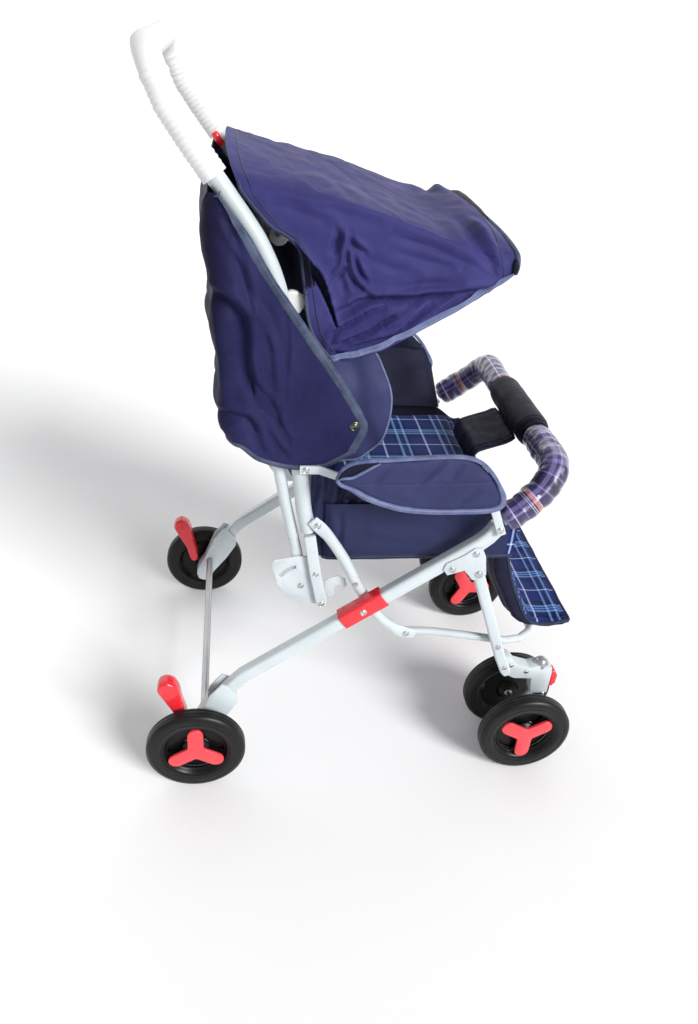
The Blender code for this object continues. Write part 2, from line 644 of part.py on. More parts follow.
# ---------------------------------------------------------------- arm rails and pads
AR3 = (ARM_PIVOT[0], 0.0, ARM_PIVOT[1])
for tag, s in (("right", -1), ("left", 1)):
    rp = [
        (0.1450, 0.1948, 0.5350), (0.1700, 0.1955, 0.5350), (0.2150, 0.2245, 0.5340), (0.2600, 0.2245, 0.5340), (0.3600, 0.2245, 0.5330),
        (0.3870, 0.2245, 0.5260), (0.4040, 0.2245, 0.5050), (0.4170, 0.2245, 0.4730), (0.4270, 0.2245, 0.4490),
    ]
    strap("arm_rail_" + tag, side(rp, s), 0.0060, 0.0019, M_PAINT, 0.3, AR3)
    o = [
        (0.187, 0.545), (0.198, 0.564), (0.220, 0.572), (0.250, 0.5745), (0.298, 0.579), (0.347, 0.580), (0.378, 0.5705), (0.400, 0.548),
        (0.4145, 0.522), (0.4170, 0.506), (0.410, 0.496), (0.390, 0.4925), (0.340, 0.492), (0.288, 0.4945), (0.244, 0.508), (0.208, 0.529),
    ]
    prism("arm_pad_" + tag, o, s * 0.2275, s * 0.2395, M_NAVY, AR3, 0.0035)

# ---------------------------------------------------------------- seat
ST3 = (SEAT_HINGE[0], 0.0, SEAT_HINGE[1])
slab_x(
    "seat_pad",
    [((0.188, 0.438), (0.188, 0.452)), ((0.194, 0.433), (0.194, 0.459)), ((0.26, 0.432), (0.26, 0.460)), ((0.35, 0.432), (0.35, 0.460)), ((0.432, 0.432), (0.432, 0.460)), ((0.4455, 0.438), (0.4455, 0.454))],
    0.156, M_PLAID, ST3, rows=6, edge=0.6,
)
grid = []
xs = [0.4700, 0.40, 0.32, 0.25, 0.2030]
for z, dx in ((0.3760, 0.0), (0.41, 0.0), (0.44, 0.0), (0.4700, -0.004)):
    row = [(x + (dx if i == 0 else 0), -0.1765, z) for i, x in enumerate(xs)]
    row += [(0.1880, -0.1755, z), (0.1810, -0.1650, z), (0.1800, -0.08, z), (0.1800, 0.0, z)]
    row = row + [(p[0], -p[1], p[2]) for p in row[-2::-1]]
    grid.append(row[::-1])
cloth_solid("seat_skirt", grid, M_NAVY, CLOTH, ST3)

LG3 = (LEG_HINGE[0], 0.0, LEG_HINGE[1])
upper = [(0.4650, 0.4340), (0.4700, 0.400), (0.4785, 0.360), (0.4925, 0.3200), (0.5110, 0.2800), (0.5270, 0.2480), (0.5460, 0.2325), (0.5750, 0.2305), (0.6120, 0.2370)]
lower = [(0.4492, 0.4340), (0.4510, 0.398), (0.4500, 0.354), (0.4590, 0.3130), (0.4780, 0.2720), (0.5040, 0.2350), (0.5330, 0.2200), (0.5700, 0.2170), (0.6100, 0.2260)]
slab_x("legrest_pad", list(zip(lower, upper)), 0.157, M_PLAID, LG3, rows=6, edge=0.8)

# ---------------------------------------------------------------- front frame
KN3 = (KNEE[0], 0.0, KNEE[1])
for tag, s in (("right", -1), ("left", 1)):
    fp = [(0.4040, 0.21275, 0.3865), (KNEE[0], 0.21275, KNEE[1]), (0.4385, 0.21275, 0.2960), (0.4680, 0.21275, 0.2160), (0.4830, 0.21275, 0.1830), (0.4865, 0.21275, 0.1750)]
    strap("front_leg_" + tag, side(fp, s), [0.0055, 0.0085, 0.0085, 0.0085, 0.0085, 0.0055], 0.00675, M_PAINT, 0.35, KN3)
    o = [
        (0.474, 0.194), (0.484, 0.203), (0.493, 0.199), (0.503, 0.186), (0.528, 0.177), (0.540, 0.1805), (0.566, 0.1765), (0.568, 0.165),
        (0.568, 0.1210), (0.539, 0.1210), (0.535, 0.1535), (0.505, 0.1560), (0.480, 0.1700),
    ]
    ch = prism("caster_housing_" + tag, o, s * 0.1842, s * 0.2057, M_PAINT, KN3)
    boolean(ch, post(STEM_X, s * PAIR_Y, 0.0066, 0.110, 0.1700, 12), "DIFFERENCE")
    CS3 = (STEM_X, s * PAIR_Y, WHEEL_R)
    o = [(0.5405, 0.1195), (0.5655, 0.1195), (0.5660, 0.108), (0.5480, 0.090), (0.5360, 0.0690), (0.5250, 0.0640), (0.5155, 0.0700), (0.5140, 0.0780), (0.5200, 0.0860), (0.5330, 0.100)]
    fk = prism("caster_fork_" + tag, o, s * (PAIR_Y - 0.009), s * (PAIR_Y + 0.009), M_STEEL, CS3, 0.0015)
    boolean(fk, post(STEM_X, s * PAIR_Y, 0.0060, 0.1150, 0.1680, 12), "UNION")
    boolean(fk, rod(CASTER_X, WHEEL_R, AXLE_R, s * (PAIR_Y - 0.0580), s * (PAIR_Y + 0.0580)), "UNION")
    o = [(0.5686, 0.1660), (0.5748, 0.1655), (0.5800, 0.1560), (0.5795, 0.1400), (0.5740, 0.1330), (0.5686, 0.1340)]
    prism("swivel_lever_" + tag, o, s * 0.1865, s * 0.2035, M_RED, (LEVER[0], s * PAIR_Y, LEVER[1]), 0.001)
    o = [
        (-0.0110, 0.1010), (-0.0170, 0.0950), (-0.0250, 0.0990), (-0.0330, 0.130), (-0.0480, 0.160), (-0.0560, 0.176), (-0.0520, 0.189), (-0.0400, 0.194),
        (-0.0280, 0.187), (-0.0220, 0.172), (-0.0190, 0.150), (-0.0130, 0.125),
    ]
    prism("brake_pedal_" + tag, o, s * 0.2060, s * 0.2315, M_RED, (PEDAL[0], s * 0.21875, PEDAL[1]), 0.003)

# U-shaped footrest tube
half = [(0.3190, 0.1850, 0.2460), (0.361, 0.1860, 0.2440), (0.4095, 0.1920, 0.2400), (0.4560, 0.1985, 0.2360), (0.480, 0.1960, 0.2300), (0.510, 0.1800, 0.2190), (0.540, 0.1500, 0.2100)]
full = side(half, -1) + half[::-1]
tube("footrest_tube", bend(full, {5: 0.02, 6: 0.030, 7: 0.030, 8: 0.02}, 3), TUBE_L, M_PAINT, 10, (FOOT_PIVOT[0], 0.0, FOOT_PIVOT[1]))
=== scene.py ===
import json
import math
import bpy
import bmesh
from mathutils import Vector, Matrix, noise
from mathutils.bvhtree import BVHTree

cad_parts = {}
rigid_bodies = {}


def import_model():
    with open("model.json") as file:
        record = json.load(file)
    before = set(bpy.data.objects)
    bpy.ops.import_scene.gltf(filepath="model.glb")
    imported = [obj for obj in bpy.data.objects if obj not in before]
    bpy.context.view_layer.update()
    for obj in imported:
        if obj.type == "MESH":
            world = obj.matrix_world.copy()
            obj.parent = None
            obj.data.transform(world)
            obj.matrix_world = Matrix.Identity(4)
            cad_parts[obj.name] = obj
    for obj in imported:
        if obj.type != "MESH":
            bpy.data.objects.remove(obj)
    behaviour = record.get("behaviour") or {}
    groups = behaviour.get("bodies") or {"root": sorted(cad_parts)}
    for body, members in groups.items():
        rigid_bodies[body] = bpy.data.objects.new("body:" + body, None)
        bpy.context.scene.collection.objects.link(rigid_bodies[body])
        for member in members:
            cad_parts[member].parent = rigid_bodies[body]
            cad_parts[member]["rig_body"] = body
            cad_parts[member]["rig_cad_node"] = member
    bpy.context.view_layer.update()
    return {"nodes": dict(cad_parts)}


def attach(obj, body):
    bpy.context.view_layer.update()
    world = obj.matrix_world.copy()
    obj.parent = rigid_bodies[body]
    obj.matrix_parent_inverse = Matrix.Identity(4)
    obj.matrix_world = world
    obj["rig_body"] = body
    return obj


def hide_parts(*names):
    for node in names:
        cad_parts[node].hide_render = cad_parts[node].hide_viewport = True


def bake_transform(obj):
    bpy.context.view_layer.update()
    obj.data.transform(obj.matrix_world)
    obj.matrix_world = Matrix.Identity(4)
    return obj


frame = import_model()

NODES = frame["nodes"]
XM = 0.2685          # side-view datum to the middle of the length
PI = math.pi


# ================================================================ mesh tools
def shade(ob, angle=38):
    bm = bmesh.new()
    bm.from_mesh(ob.data)
    lim = math.radians(angle)
    for f in bm.faces:
        f.smooth = True
    for e in bm.edges:
        e.smooth = not (len(e.link_faces) == 2 and e.calc_face_angle(0.0) > lim)
    bm.to_mesh(ob.data)
    bm.free()
    return ob


def mesh(name, verts, faces, mat, angle=38, uv=None, fix=True):
    """verts are in side coordinates; uv, where given, holds one pair for each corner of each face."""
    me = bpy.data.meshes.new(name)
    me.from_pydata([(v[0] - XM, v[1], v[2]) for v in verts], [], faces)
    if uv:
        lay = me.uv_layers.new(name="w")
        k = 0
        for f in uv:
            for c in f:
                lay.data[k].uv = c
                k += 1
    if fix:
        bm = bmesh.new()
        bm.from_mesh(me)
        bmesh.ops.remove_doubles(bm, verts=bm.verts, dist=1e-6)
        bmesh.ops.recalc_face_normals(bm, faces=bm.faces)
        bm.to_mesh(me)
        bm.free()
    ob = bpy.data.objects.new(name, me)
    bpy.context.scene.collection.objects.link(ob)
    me.materials.append(mat)
    return shade(ob, angle)


def bake(ob):
    """Apply the modifiers."""
    bpy.context.view_layer.update()
    dg = bpy.context.evaluated_depsgraph_get()
    me = bpy.data.meshes.new_from_object(ob.evaluated_get(dg), depsgraph=dg)
    ob.modifiers.clear()
    old = ob.data
    ob.data = me
    bpy.data.meshes.remove(old)
    me.name = ob.name
    return ob


def catmull(pts, n):
    P = [Vector(p) for p in pts]
    P = [2 * P[0] - P[1]] + P + [2 * P[-1] - P[-2]]
    out = []
    for i in range(1, len(P) - 2):
        a, b, c, d = P[i - 1: i + 3]
        for k in range(n):
            t = k / n
            out.append(0.5 * (2 * b + (c - a) * t + (2 * a - 5 * b + 4 * c - d) * t * t + (3 * b - a - 3 * c + d) * t ** 3))
    out.append(P[-2])
    return out


def bend(pts, radii, n=12):
    P = [Vector(p) for p in pts]
    out = []
    for i, p in enumerate(P):
        r = radii.get(i)
        if not r:
            out.append(p)
            continue
        a = (P[i - 1] - p).normalized()
        b = (P[i + 1] - p).normalized()
        half = a.angle(b) / 2
        d = r / math.tan(half)
        c = p + (a + b).normalized() * (r / math.sin(half))
        u = (p + a * d) - c
        w = (p + b * d) - c
        tot = u.angle(w)
        for k in range(n + 1):
            t = k / n
            out.append(c + (u * math.sin((1 - t) * tot) + w * math.sin(t * tot)) / math.sin(tot))
    return out


def arc_len(path):
    s = [0.0]
    for a, b in zip(path, path[1:]):
        s.append(s[-1] + (Vector(b) - Vector(a)).length)
    return s


def even(path, step):
    """The path with points every step."""
    P = [Vector(p) for p in path]
    s = arc_len(P)
    n = max(2, int(round(s[-1] / step)))
    out = []
    j = 0
    for i in range(n + 1):
        d = s[-1] * i / n
        while j < len(P) - 2 and s[j + 1] < d:
            j += 1
        span = s[j + 1] - s[j]
        out.append(P[j].lerp(P[j + 1], min(1.0, (d - s[j]) / span if span > 1e-9 else 0)))
    return out


def smooth_path(P, rounds=2):
    P = [Vector(p) for p in P]
    for _ in range(rounds):
        P = [P[0]] + [(P[i - 1] + 2 * P[i] + P[i + 1]) / 4 for i in range(1, len(P) - 1)] + [P[-1]]
    return P


def frames(path):
    P = [Vector(p) for p in path]
    T = []
    for i in range(len(P)):
        a = (P[i] - P[i - 1]).normalized() if i else None
        b = (P[i + 1] - P[i]).normalized() if i < len(P) - 1 else None
        T.append(((a or b) + (b or a)).normalized())
    n = Vector((0, 0, 1)) if abs(T[0].y) > 0.9 else Vector((0, 1, 0))
    n = (n - T[0] * n.dot(T[0])).normalized()
    out = []
    for i, t in enumerate(T):
        if i:
            n = T[i - 1].rotation_difference(t) @ n
            n = (n - t * n.dot(t)).normalized()
        out.append((P[i], t, n, t.cross(n)))
    return out


def sweep(name, path, r, mat, seg=24, normal=None, flat=None, cap=True, angle=50, inner=None):
    """A swept tube. r is one radius, one for each station, or a function of (station, arc length, angle).
    flat gives the half thickness along normal, where the section is an ellipse. inner is the radius of a bore."""
    fr = frames(path)
    if normal is not None:
        new = []
        for i, (p, t, n, b) in enumerate(fr):
            m = normal(i, p) if callable(normal) else normal
            m = Vector(m)
            m = (m - t * m.dot(t)).normalized()
            new.append((p, t, m, t.cross(m)))
        fr = new
    s = arc_len(path)
    vs = []
    for i, (p, t, n, b) in enumerate(fr):
        for j in range(seg):
            g = 2 * PI * j / seg
            rr = r(i, s[i], g) if callable(r) else (r[i] if isinstance(r, (list, tuple)) else r)
            h = rr if flat is None else (flat[i] if isinstance(flat, (list, tuple)) else flat)
            vs.append(p + n * (h * math.cos(g)) + b * (rr * math.sin(g)))
    m = len(fr)
    fs, uv = [], []
    for i in range(m - 1):
        for j in range(seg):
            k = (j + 1) % seg
            fs.append((i * seg + j, i * seg + k, (i + 1) * seg + k, (i + 1) * seg + j))
            v0, v1 = j / seg, (j + 1) / seg
            uv.append(((s[i], v0), (s[i], v1), (s[i + 1], v1), (s[i + 1], v0)))
    if inner is not None:
        base = len(vs)
        for i, (p, t, n, b) in enumerate(fr):
            for j in range(seg):
                g = 2 * PI * j / seg
                vs.append(p + n * (inner * math.cos(g)) + b * (inner * math.sin(g)))
        for i in range(m - 1):
            for j in range(seg):
                k = (j + 1) % seg
                fs.append((base + i * seg + k, base + i * seg + j, base + (i + 1) * seg + j, base + (i + 1) * seg + k))
                uv.append(((s[i], 0),) * 4)
        e = (m - 1) * seg
        for j in range(seg):
            k = (j + 1) % seg
            fs.append((k, j, base + j, base + k))
            uv.append(((0, 0),) * 4)
            fs.append((e + j, e + k, base + e + k, base + e + j))
            uv.append(((0, 0),) * 4)
    elif cap:
        e = (m - 1) * seg
        fs.append(tuple(range(seg)))
        uv.append(((0, 0),) * seg)
        fs.append(tuple(range(e + seg - 1, e - 1, -1)))
        uv.append(((s[-1], 0),) * seg)
    return mesh(name, vs, fs, mat, angle, uv)


def lathe(name, prof, centre, axis, mat, n=72, angle=40, closed=True):
    """prof holds (radius, along) pairs turned about axis through centre."""
    a = Vector(axis).normalized()
    u = a.orthogonal().normalized()
    w = a.cross(u)
    c = Vector(centre)
    vs = []
    for i in range(n):
        g = 2 * PI * i / n
        d = u * math.cos(g) + w * math.sin(g)
        for r, h in prof:
            vs.append(c + d * r + a * h)
    k = len(prof)
    fs = []
    for i in range(n):
        i2 = (i + 1) % n
        for j in range(k if closed else k - 1):
            j2 = (j + 1) % k
            fs.append((i * k + j, i * k + j2, i2 * k + j2, i2 * k + j))
    return mesh(name, vs, fs, mat, angle)


def dome(name, centre, axis, r, h, mat, body, n=24, ring=0.0):
    """A rivet or snap head that stands on a face."""
    prof = [(0.0, -0.0004), (r, -0.0004), (r, 0.12 * h)]
    for k in range(1, 7):
        g = k / 7 * PI / 2
        prof.append((r * math.cos(g), 0.12 * h + 0.88 * h * math.sin(g)))
    prof.append((0.0, h))
    if ring:
        prof = [(0.0, -0.0004), (r + ring, -0.0004), (r + ring, 0.25 * h), (r + ring * 0.4, 0.45 * h), (r, 0.3 * h)] + prof[3:]
    ob = lathe(name, prof, centre, axis, mat, n, 45, False)
    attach(ob, body)
    return ob


def lerp_table(tab, z):
    for (z0, v0), (z1, v1) in zip(tab, tab[1:]):
        if z0 <= z <= z1:
            return v0 + (v1 - v0) * (z - z0) / (z1 - z0)
    return tab[0][1] if z < tab[0][0] else tab[-1][1]


def along(pts, t):
    """Point at share t of the length of a polyline."""
    P = [Vector(p) for p in pts]
    s = arc_len(P)
    d = max(0.0, min(1.0, t)) * s[-1]
    for i in range(len(P) - 1):
        if d <= s[i + 1] + 1e-12:
            return P[i].lerp(P[i + 1], (d - s[i]) / max(1e-9, s[i + 1] - s[i]))
    return P[-1]


def crease(p, line, width, depth):
    """Fold profile round a line in the side view: a valley with a soft ridge beside it. Positive depth goes in."""
    m = 4.5 * width
    if not (min(a[0] for a in line) - m < p[0] < max(a[0] for a in line) + m and min(a[1] for a in line) - m < p[1] < max(a[1] for a in line) + m):
        return 0.0
    best = 9.0
    sgn = 1.0
    tt = 0.0
    q = Vector((p[0], p[1]))
    n = len(line) - 1
    for i in range(n):
        a, b = Vector(line[i]), Vector(line[i + 1])
        d = b - a
        t = max(0.0, min(1.0, (q - a).dot(d) / d.length_squared))
        e = q - (a + d * t)
        if e.length < best:
            best = e.length
            sgn = 1.0 if d.x * e.y - d.y * e.x > 0 else -1.0
            tt = (i + t) / n
    fade = math.sin(PI * (0.08 + 0.84 * tt)) ** 0.7
    r = best * sgn / width
    return depth * fade * (-math.exp(-abs(r) ** 1.5) + 0.60 * math.exp(-((r - 1.6) ** 2) / 1.0) + 0.18 * math.exp(-((r + 1.9) ** 2) / 1.6))


def fbm(p, scale, seed=0.0, octaves=3):
    v, a, s = 0.0, 1.0, scale
    for _ in range(octaves):
        v += a * noise.noise(Vector((p[0] * s + seed, p[1] * s - seed, p[2] * s + 0.7 * seed)))
        a *= 0.5
        s *= 2.03
    return v


def grid_normals(G):
    R, C = len(G), len(G[0])
    N = []
    for i in range(R):
        row = []
        for j in range(C):
            du = G[min(i + 1, R - 1)][j] - G[max(i - 1, 0)][j]
            dv = G[i][min(j + 1, C - 1)] - G[i][max(j - 1, 0)]
            n = du.cross(dv)
            row.append(n.normalized() if n.length > 1e-12 else Vector((0, 0, 1)))
        N.append(row)
    return N


def refine(grid, nu, nv):
    rows = [catmull(r, nv) for r in grid]
    cols = [catmull([r[j] for r in rows], nu) for j in range(len(rows[0]))]
    return [[cols[j][i] for j in range(len(cols))] for i in range(len(cols[0]))]


def push(G, fn, sign=1.0):
    """Move each grid point along its normal by fn(i, j, point)."""
    N = grid_normals(G)
    return [[p + N[i][j] * (sign * fn(i, j, p)) for j, p in enumerate(row)] for i, row in enumerate(G)]


def cloth(name, G, mat, t=0.0011, sign=1.0, lining=None):
    """A closed thin sheet from a grid; sign says which way is out, and lining is the inner face's material."""
    R, C = len(G), len(G[0])
    N = grid_normals(G)
    vs = [p for row in G for p in row] + [G[i][j] - N[i][j] * (sign * t) for i in range(R) for j in range(C)]
    b = R * C
    su = [[0.0] * C for _ in range(R)]
    sv = [[0.0] * C for _ in range(R)]
    for i in range(R):
        for j in range(C):
            if i:
                su[i][j] = su[i - 1][j] + (G[i][j] - G[i - 1][j]).length
            if j:
                sv[i][j] = sv[i][j - 1] + (G[i][j] - G[i][j - 1]).length
    fs, uv, inner = [], [], []
    for i in range(R - 1):
        for j in range(C - 1):
            q = ((i, j), (i, j + 1), (i + 1, j + 1), (i + 1, j))
            c = tuple((su[a][e], sv[a][e]) for a, e in q)
            fs.append(tuple(a * C + e for a, e in q))
            uv.append(c)
            inner.append(0)
            fs.append(tuple(b + a * C + e for a, e in q[::-1]))
            uv.append(c[::-1])
            inner.append(1)
    loop = [(0, j) for j in range(C)] + [(i, C - 1) for i in range(1, R)]
    loop += [(R - 1, j) for j in range(C - 2, -1, -1)] + [(i, 0) for i in range(R - 2, 0, -1)]
    for a, c in zip(loop, loop[1:] + loop[:1]):
        ka, kc = a[0] * C + a[1], c[0] * C + c[1]
        fs.append((ka, kc, b + kc, b + ka))
        uv.append(((su[a[0]][a[1]], sv[a[0]][a[1]]),) * 4)
        inner.append(0)
    me = bpy.data.meshes.new(name)
    me.from_pydata([(v[0] - XM, v[1], v[2]) for v in vs], [], fs)
    lay = me.uv_layers.new(name="w")
    k = 0
    for f in uv:
        for c in f:
            lay.data[k].uv = c
            k += 1
    me.materials.append(mat)
    if lining:
        me.materials.append(lining)
        me.polygons.foreach_set("material_index", inner)
    bm = bmesh.new()
    bm.from_mesh(me)
    bmesh.ops.remove_doubles(bm, verts=bm.verts, dist=1e-7)
    bmesh.ops.recalc_face_normals(bm, faces=bm.faces)
    bm.to_mesh(me)
    bm.free()
    ob = bpy.data.objects.new(name, me)
    bpy.context.scene.collection.objects.link(ob)
    return shade(ob, 75)


def sheet_area(ob):
    return sum(p.area for p in ob.data.polygons) / 2


def inflate(ob, voxel=0.005, pressure=4.0, cap=0.008, frames_n=20, pin=None, sub=1, seed=0.0):
    """Remesh, blow up as cloth with a cap on the movement, and smooth."""
    md = ob.modifiers.new("remesh", "REMESH")
    md.mode = "VOXEL"
    md.voxel_size = voxel
    bake(ob)
    base = [v.co.copy() for v in ob.data.vertices]
    if pin:
        vg = ob.vertex_groups.new(name="pin")
        for v in ob.data.vertices:
            w = pin(Vector((v.co.x + XM, v.co.y, v.co.z)))
            if w > 0:
                vg.add([v.index], w, "REPLACE")
    cl = ob.modifiers.new("cloth", "CLOTH")
    st = cl.settings
    st.quality = 4
    st.mass = 0.25
    st.tension_stiffness = 12
    st.compression_stiffness = 12
    st.shear_stiffness = 4
    st.bending_stiffness = 0.4
    st.use_pressure = True
    st.uniform_pressure_force = pressure
    st.effector_weights.gravity = 0.0
    if pin:
        st.vertex_group_mass = "pin"
    cl.collision_settings.use_collision = False
    cl.collision_settings.use_self_collision = False
    cl.point_cache.frame_start = 1
    cl.point_cache.frame_end = frames_n
    sc = bpy.context.scene
    for f in range(1, frames_n + 1):
        sc.frame_set(f)
    dg = bpy.context.evaluated_depsgraph_get()
    ev = ob.evaluated_get(dg).to_mesh()
    out = [v.co.copy() for v in ev.vertices]
    ob.evaluated_get(dg).to_mesh_clear()
    ob.modifiers.clear()
    ob.vertex_groups.clear()
    sc.frame_set(1)
    for v, b, o in zip(ob.data.vertices, base, out):
        d = o - b
        L = d.length
        v.co = b + d * (cap / (L + cap) if L > 1e-9 else 0.0)
    md = ob.modifiers.new("smooth", "SMOOTH")
    md.factor = 0.5
    md.iterations = 4
    if sub:
        md = ob.modifiers.new("sub", "SUBSURF")
        md.levels = sub
        md.render_levels = sub
    bake(ob)
    return shade(ob, 80)


def move_verts(ob, fn):
    """fn(point in side coordinates, normal) gives the shift of each vertex."""
    me = ob.data
    nor = [Vector(v.normal) for v in me.vertices]
    for v, n in zip(me.vertices, nor):
        p = Vector((v.co.x + XM, v.co.y, v.co.z))
        v.co = v.co + Vector(fn(p, n))
    me.update()
    return ob


def put_vec(ob, fn, name="plaid"):
    """Store fn(point) as a vector on each vertex."""
    at = ob.data.attributes.new(name, "FLOAT_VECTOR", "POINT")
    flat = []
    for v in ob.data.vertices:
        flat.extend(fn(Vector((v.co.x + XM, v.co.y, v.co.z))))
    at.data.foreach_set("vector", flat)
    return ob


# ================================================================ materials
class Build:
    def __init__(self, name):
        self.m = bpy.data.materials.new(name)
        self.m.use_nodes = True
        self.t = self.m.node_tree
        self.n = self.t.nodes
        self.b = self.n["Principled BSDF"]

    def link(self, a, b):
        self.t.links.new(a, b)

    def put(self, socket, value):
        if isinstance(value, bpy.types.NodeSocket):
            self.link(value, socket)
        else:
            socket.default_value = value

    def set(self, **kw):
        names = {
            "color": "Base Color", "rough": "Roughness", "metal": "Metallic", "spec": "Specular IOR Level", "coat": "Coat Weight",
            "coat_rough": "Coat Roughness", "sheen": "Sheen Weight", "sheen_rough": "Sheen Roughness", "sheen_tint": "Sheen Tint",
            "normal": "Normal", "coat_normal": "Coat Normal", "aniso": "Anisotropic", "sub": "Subsurface Weight", "sub_radius": "Subsurface Radius", "sub_scale": "Subsurface Scale", "ior": "IOR",
        }
        for k, v in kw.items():
            if k in ("color", "sheen_tint") and isinstance(v, tuple) and len(v) == 3:
                v = (*v, 1.0)
            self.put(self.b.inputs[names[k]], v)
        return self

    def obj(self):
        return self.n.new("ShaderNodeTexCoord").outputs["Object"]

    def attr(self, name):
        x = self.n.new("ShaderNodeAttribute")
        x.attribute_name = name
        return x.outputs["Vector"]

    def uv(self):
        x = self.n.new("ShaderNodeUVMap")
        x.uv_map = "w"
        return x.outputs["UV"]

    def xyz(self, v):
        x = self.n.new("ShaderNodeSeparateXYZ")
        self.link(v, x.inputs[0])
        return x.outputs[0], x.outputs[1], x.outputs[2]

    def join(self, a, b, c):
        x = self.n.new("ShaderNodeCombineXYZ")
        for s, v in zip(x.inputs, (a, b, c)):
            self.put(s, v)
        return x.outputs[0]

    def math(self, op, a, b=0.0, c=0.0, clamp=False):
        x = self.n.new("ShaderNodeMath")
        x.operation = op
        x.use_clamp = clamp
        self.put(x.inputs[0], a)
        self.put(x.inputs[1], b)
        self.put(x.inputs[2], c)
        return x.outputs[0]

    def noise(self, vec, scale, detail=3.0, rough=0.5, dist=0.0):
        x = self.n.new("ShaderNodeTexNoise")
        self.link(vec, x.inputs["Vector"])
        x.inputs["Scale"].default_value = scale
        x.inputs["Detail"].default_value = detail
        x.inputs["Roughness"].default_value = rough
        x.inputs["Distortion"].default_value = dist
        return x.outputs[0]

    def voro(self, vec, scale, feature="F1"):
        x = self.n.new("ShaderNodeTexVoronoi")
        x.feature = feature
        self.link(vec, x.inputs["Vector"])
        x.inputs["Scale"].default_value = scale
        return x.outputs["Distance"]

    def stretch(self, vec, sx, sy, sz):
        x = self.n.new("ShaderNodeMapping")
        self.link(vec, x.inputs[0])
        x.inputs["Scale"].default_value = (sx, sy, sz)
        return x.outputs[0]

    def ramp(self, fac, stops, mode="LINEAR"):
        x = self.n.new("ShaderNodeValToRGB")
        x.color_ramp.interpolation = mode
        e = x.color_ramp.elements
        while len(e) < len(stops):
            e.new(0.5)
        for k, (p, c) in enumerate(stops):
            if not isinstance(c, tuple):
                c = (c, c, c)
            e[k].position = p
            e[k].color = (*c, 1.0)
        self.put(x.inputs[0], fac)
        return x.outputs[0]

    def mix(self, fac, a, b, mode="MIX"):
        x = self.n.new("ShaderNodeMix")
        x.data_type = "RGBA"
        x.blend_type = mode
        self.put(x.inputs[0], fac)
        self.put(x.inputs[6], (*a, 1.0) if isinstance(a, tuple) else a)
        self.put(x.inputs[7], (*b, 1.0) if isinstance(b, tuple) else b)
        return x.outputs[2]

    def bump(self, height, dist, strength=1.0, normal=None):
        x = self.n.new("ShaderNodeBump")
        x.inputs["Strength"].default_value = strength
        x.inputs["Distance"].default_value = dist
        self.put(x.inputs["Height"], height)
        if normal is not None:
            self.link(normal, x.inputs["Normal"])
        return x.outputs[0]


def weave_height(b, vec, pitch):
    """Plain weave from three sine families, so it needs no map."""
    k = 2 * PI / pitch
    x, y, z = b.xyz(vec)
    sx = b.math("SINE", b.math("MULTIPLY", x, k))
    sy = b.math("SINE", b.math("MULTIPLY", y, k))
    sz = b.math("SINE", b.math("MULTIPLY", z, k))
    h = b.math("ADD", b.math("MULTIPLY", sx, sz), b.math("ADD", b.math("MULTIPLY", sx, sy), b.math("MULTIPLY", sy, sz)))
    return b.math("MULTIPLY_ADD", h, 0.3, 0.5)


def fabric(name, dark, light, rough=0.5, pitch=0.0009, sheen=0.35, tint=(0.45, 0.45, 0.85), wrinkle=0.0016, spec=0.14, fade=0.5, painted_rear_shade=None):
    b = Build(name)
    p = b.attr("rest")
    tone = b.noise(p, 7.0, 4.0, 0.6, 0.4)
    col = b.ramp(tone, [(0.32, dark), (0.68, light)])
    wv = weave_height(b, p, pitch)
    col = b.mix(0.55, col, b.ramp(wv, [(0.1, 0.62), (0.55, 1.0), (0.95, 1.15)]), "MULTIPLY")
    if painted_rear_shade:
        # painted shade: the cloth is drawn darker toward its rear
        k = b.math("MULTIPLY_ADD", b.noise(p, 11.0, 2.0, 0.5), 0.030, b.xyz(p)[0])
        f = b.math("DIVIDE", b.math("SUBTRACT", k, painted_rear_shade[0] + 0.015), painted_rear_shade[1] - painted_rear_shade[0], 0.0, True)
        col = b.mix(1.0, col, b.ramp(f, [(0.0, painted_rear_shade[2]), (1.0, 1.0)]), "MULTIPLY")
    dust = b.ramp(b.noise(p, 160.0, 2.0, 0.7), [(0.66, 0.0), (0.80, 1.0)])
    col = b.mix(b.math("MULTIPLY", dust, 0.10 * fade), col, (0.35, 0.35, 0.45))
    soft = b.noise(b.stretch(p, 1.0, 1.0, 0.55), 22.0, 3.0, 0.55, 1.2)
    fine = b.noise(p, 85.0, 2.0, 0.5, 0.6)
    n1 = b.bump(soft, wrinkle, 0.6)
    n2 = b.bump(fine, 0.0004, 0.45, n1)
    n3 = b.bump(wv, 0.00012, 0.7, n2)
    rg = b.math("MULTIPLY_ADD", b.noise(p, 40.0, 3.0, 0.6), 0.22, rough - 0.11)
    b.set(color=col, rough=rg, normal=n3, spec=spec, sheen=sheen, sheen_rough=0.35, sheen_tint=tint)
    return b.m


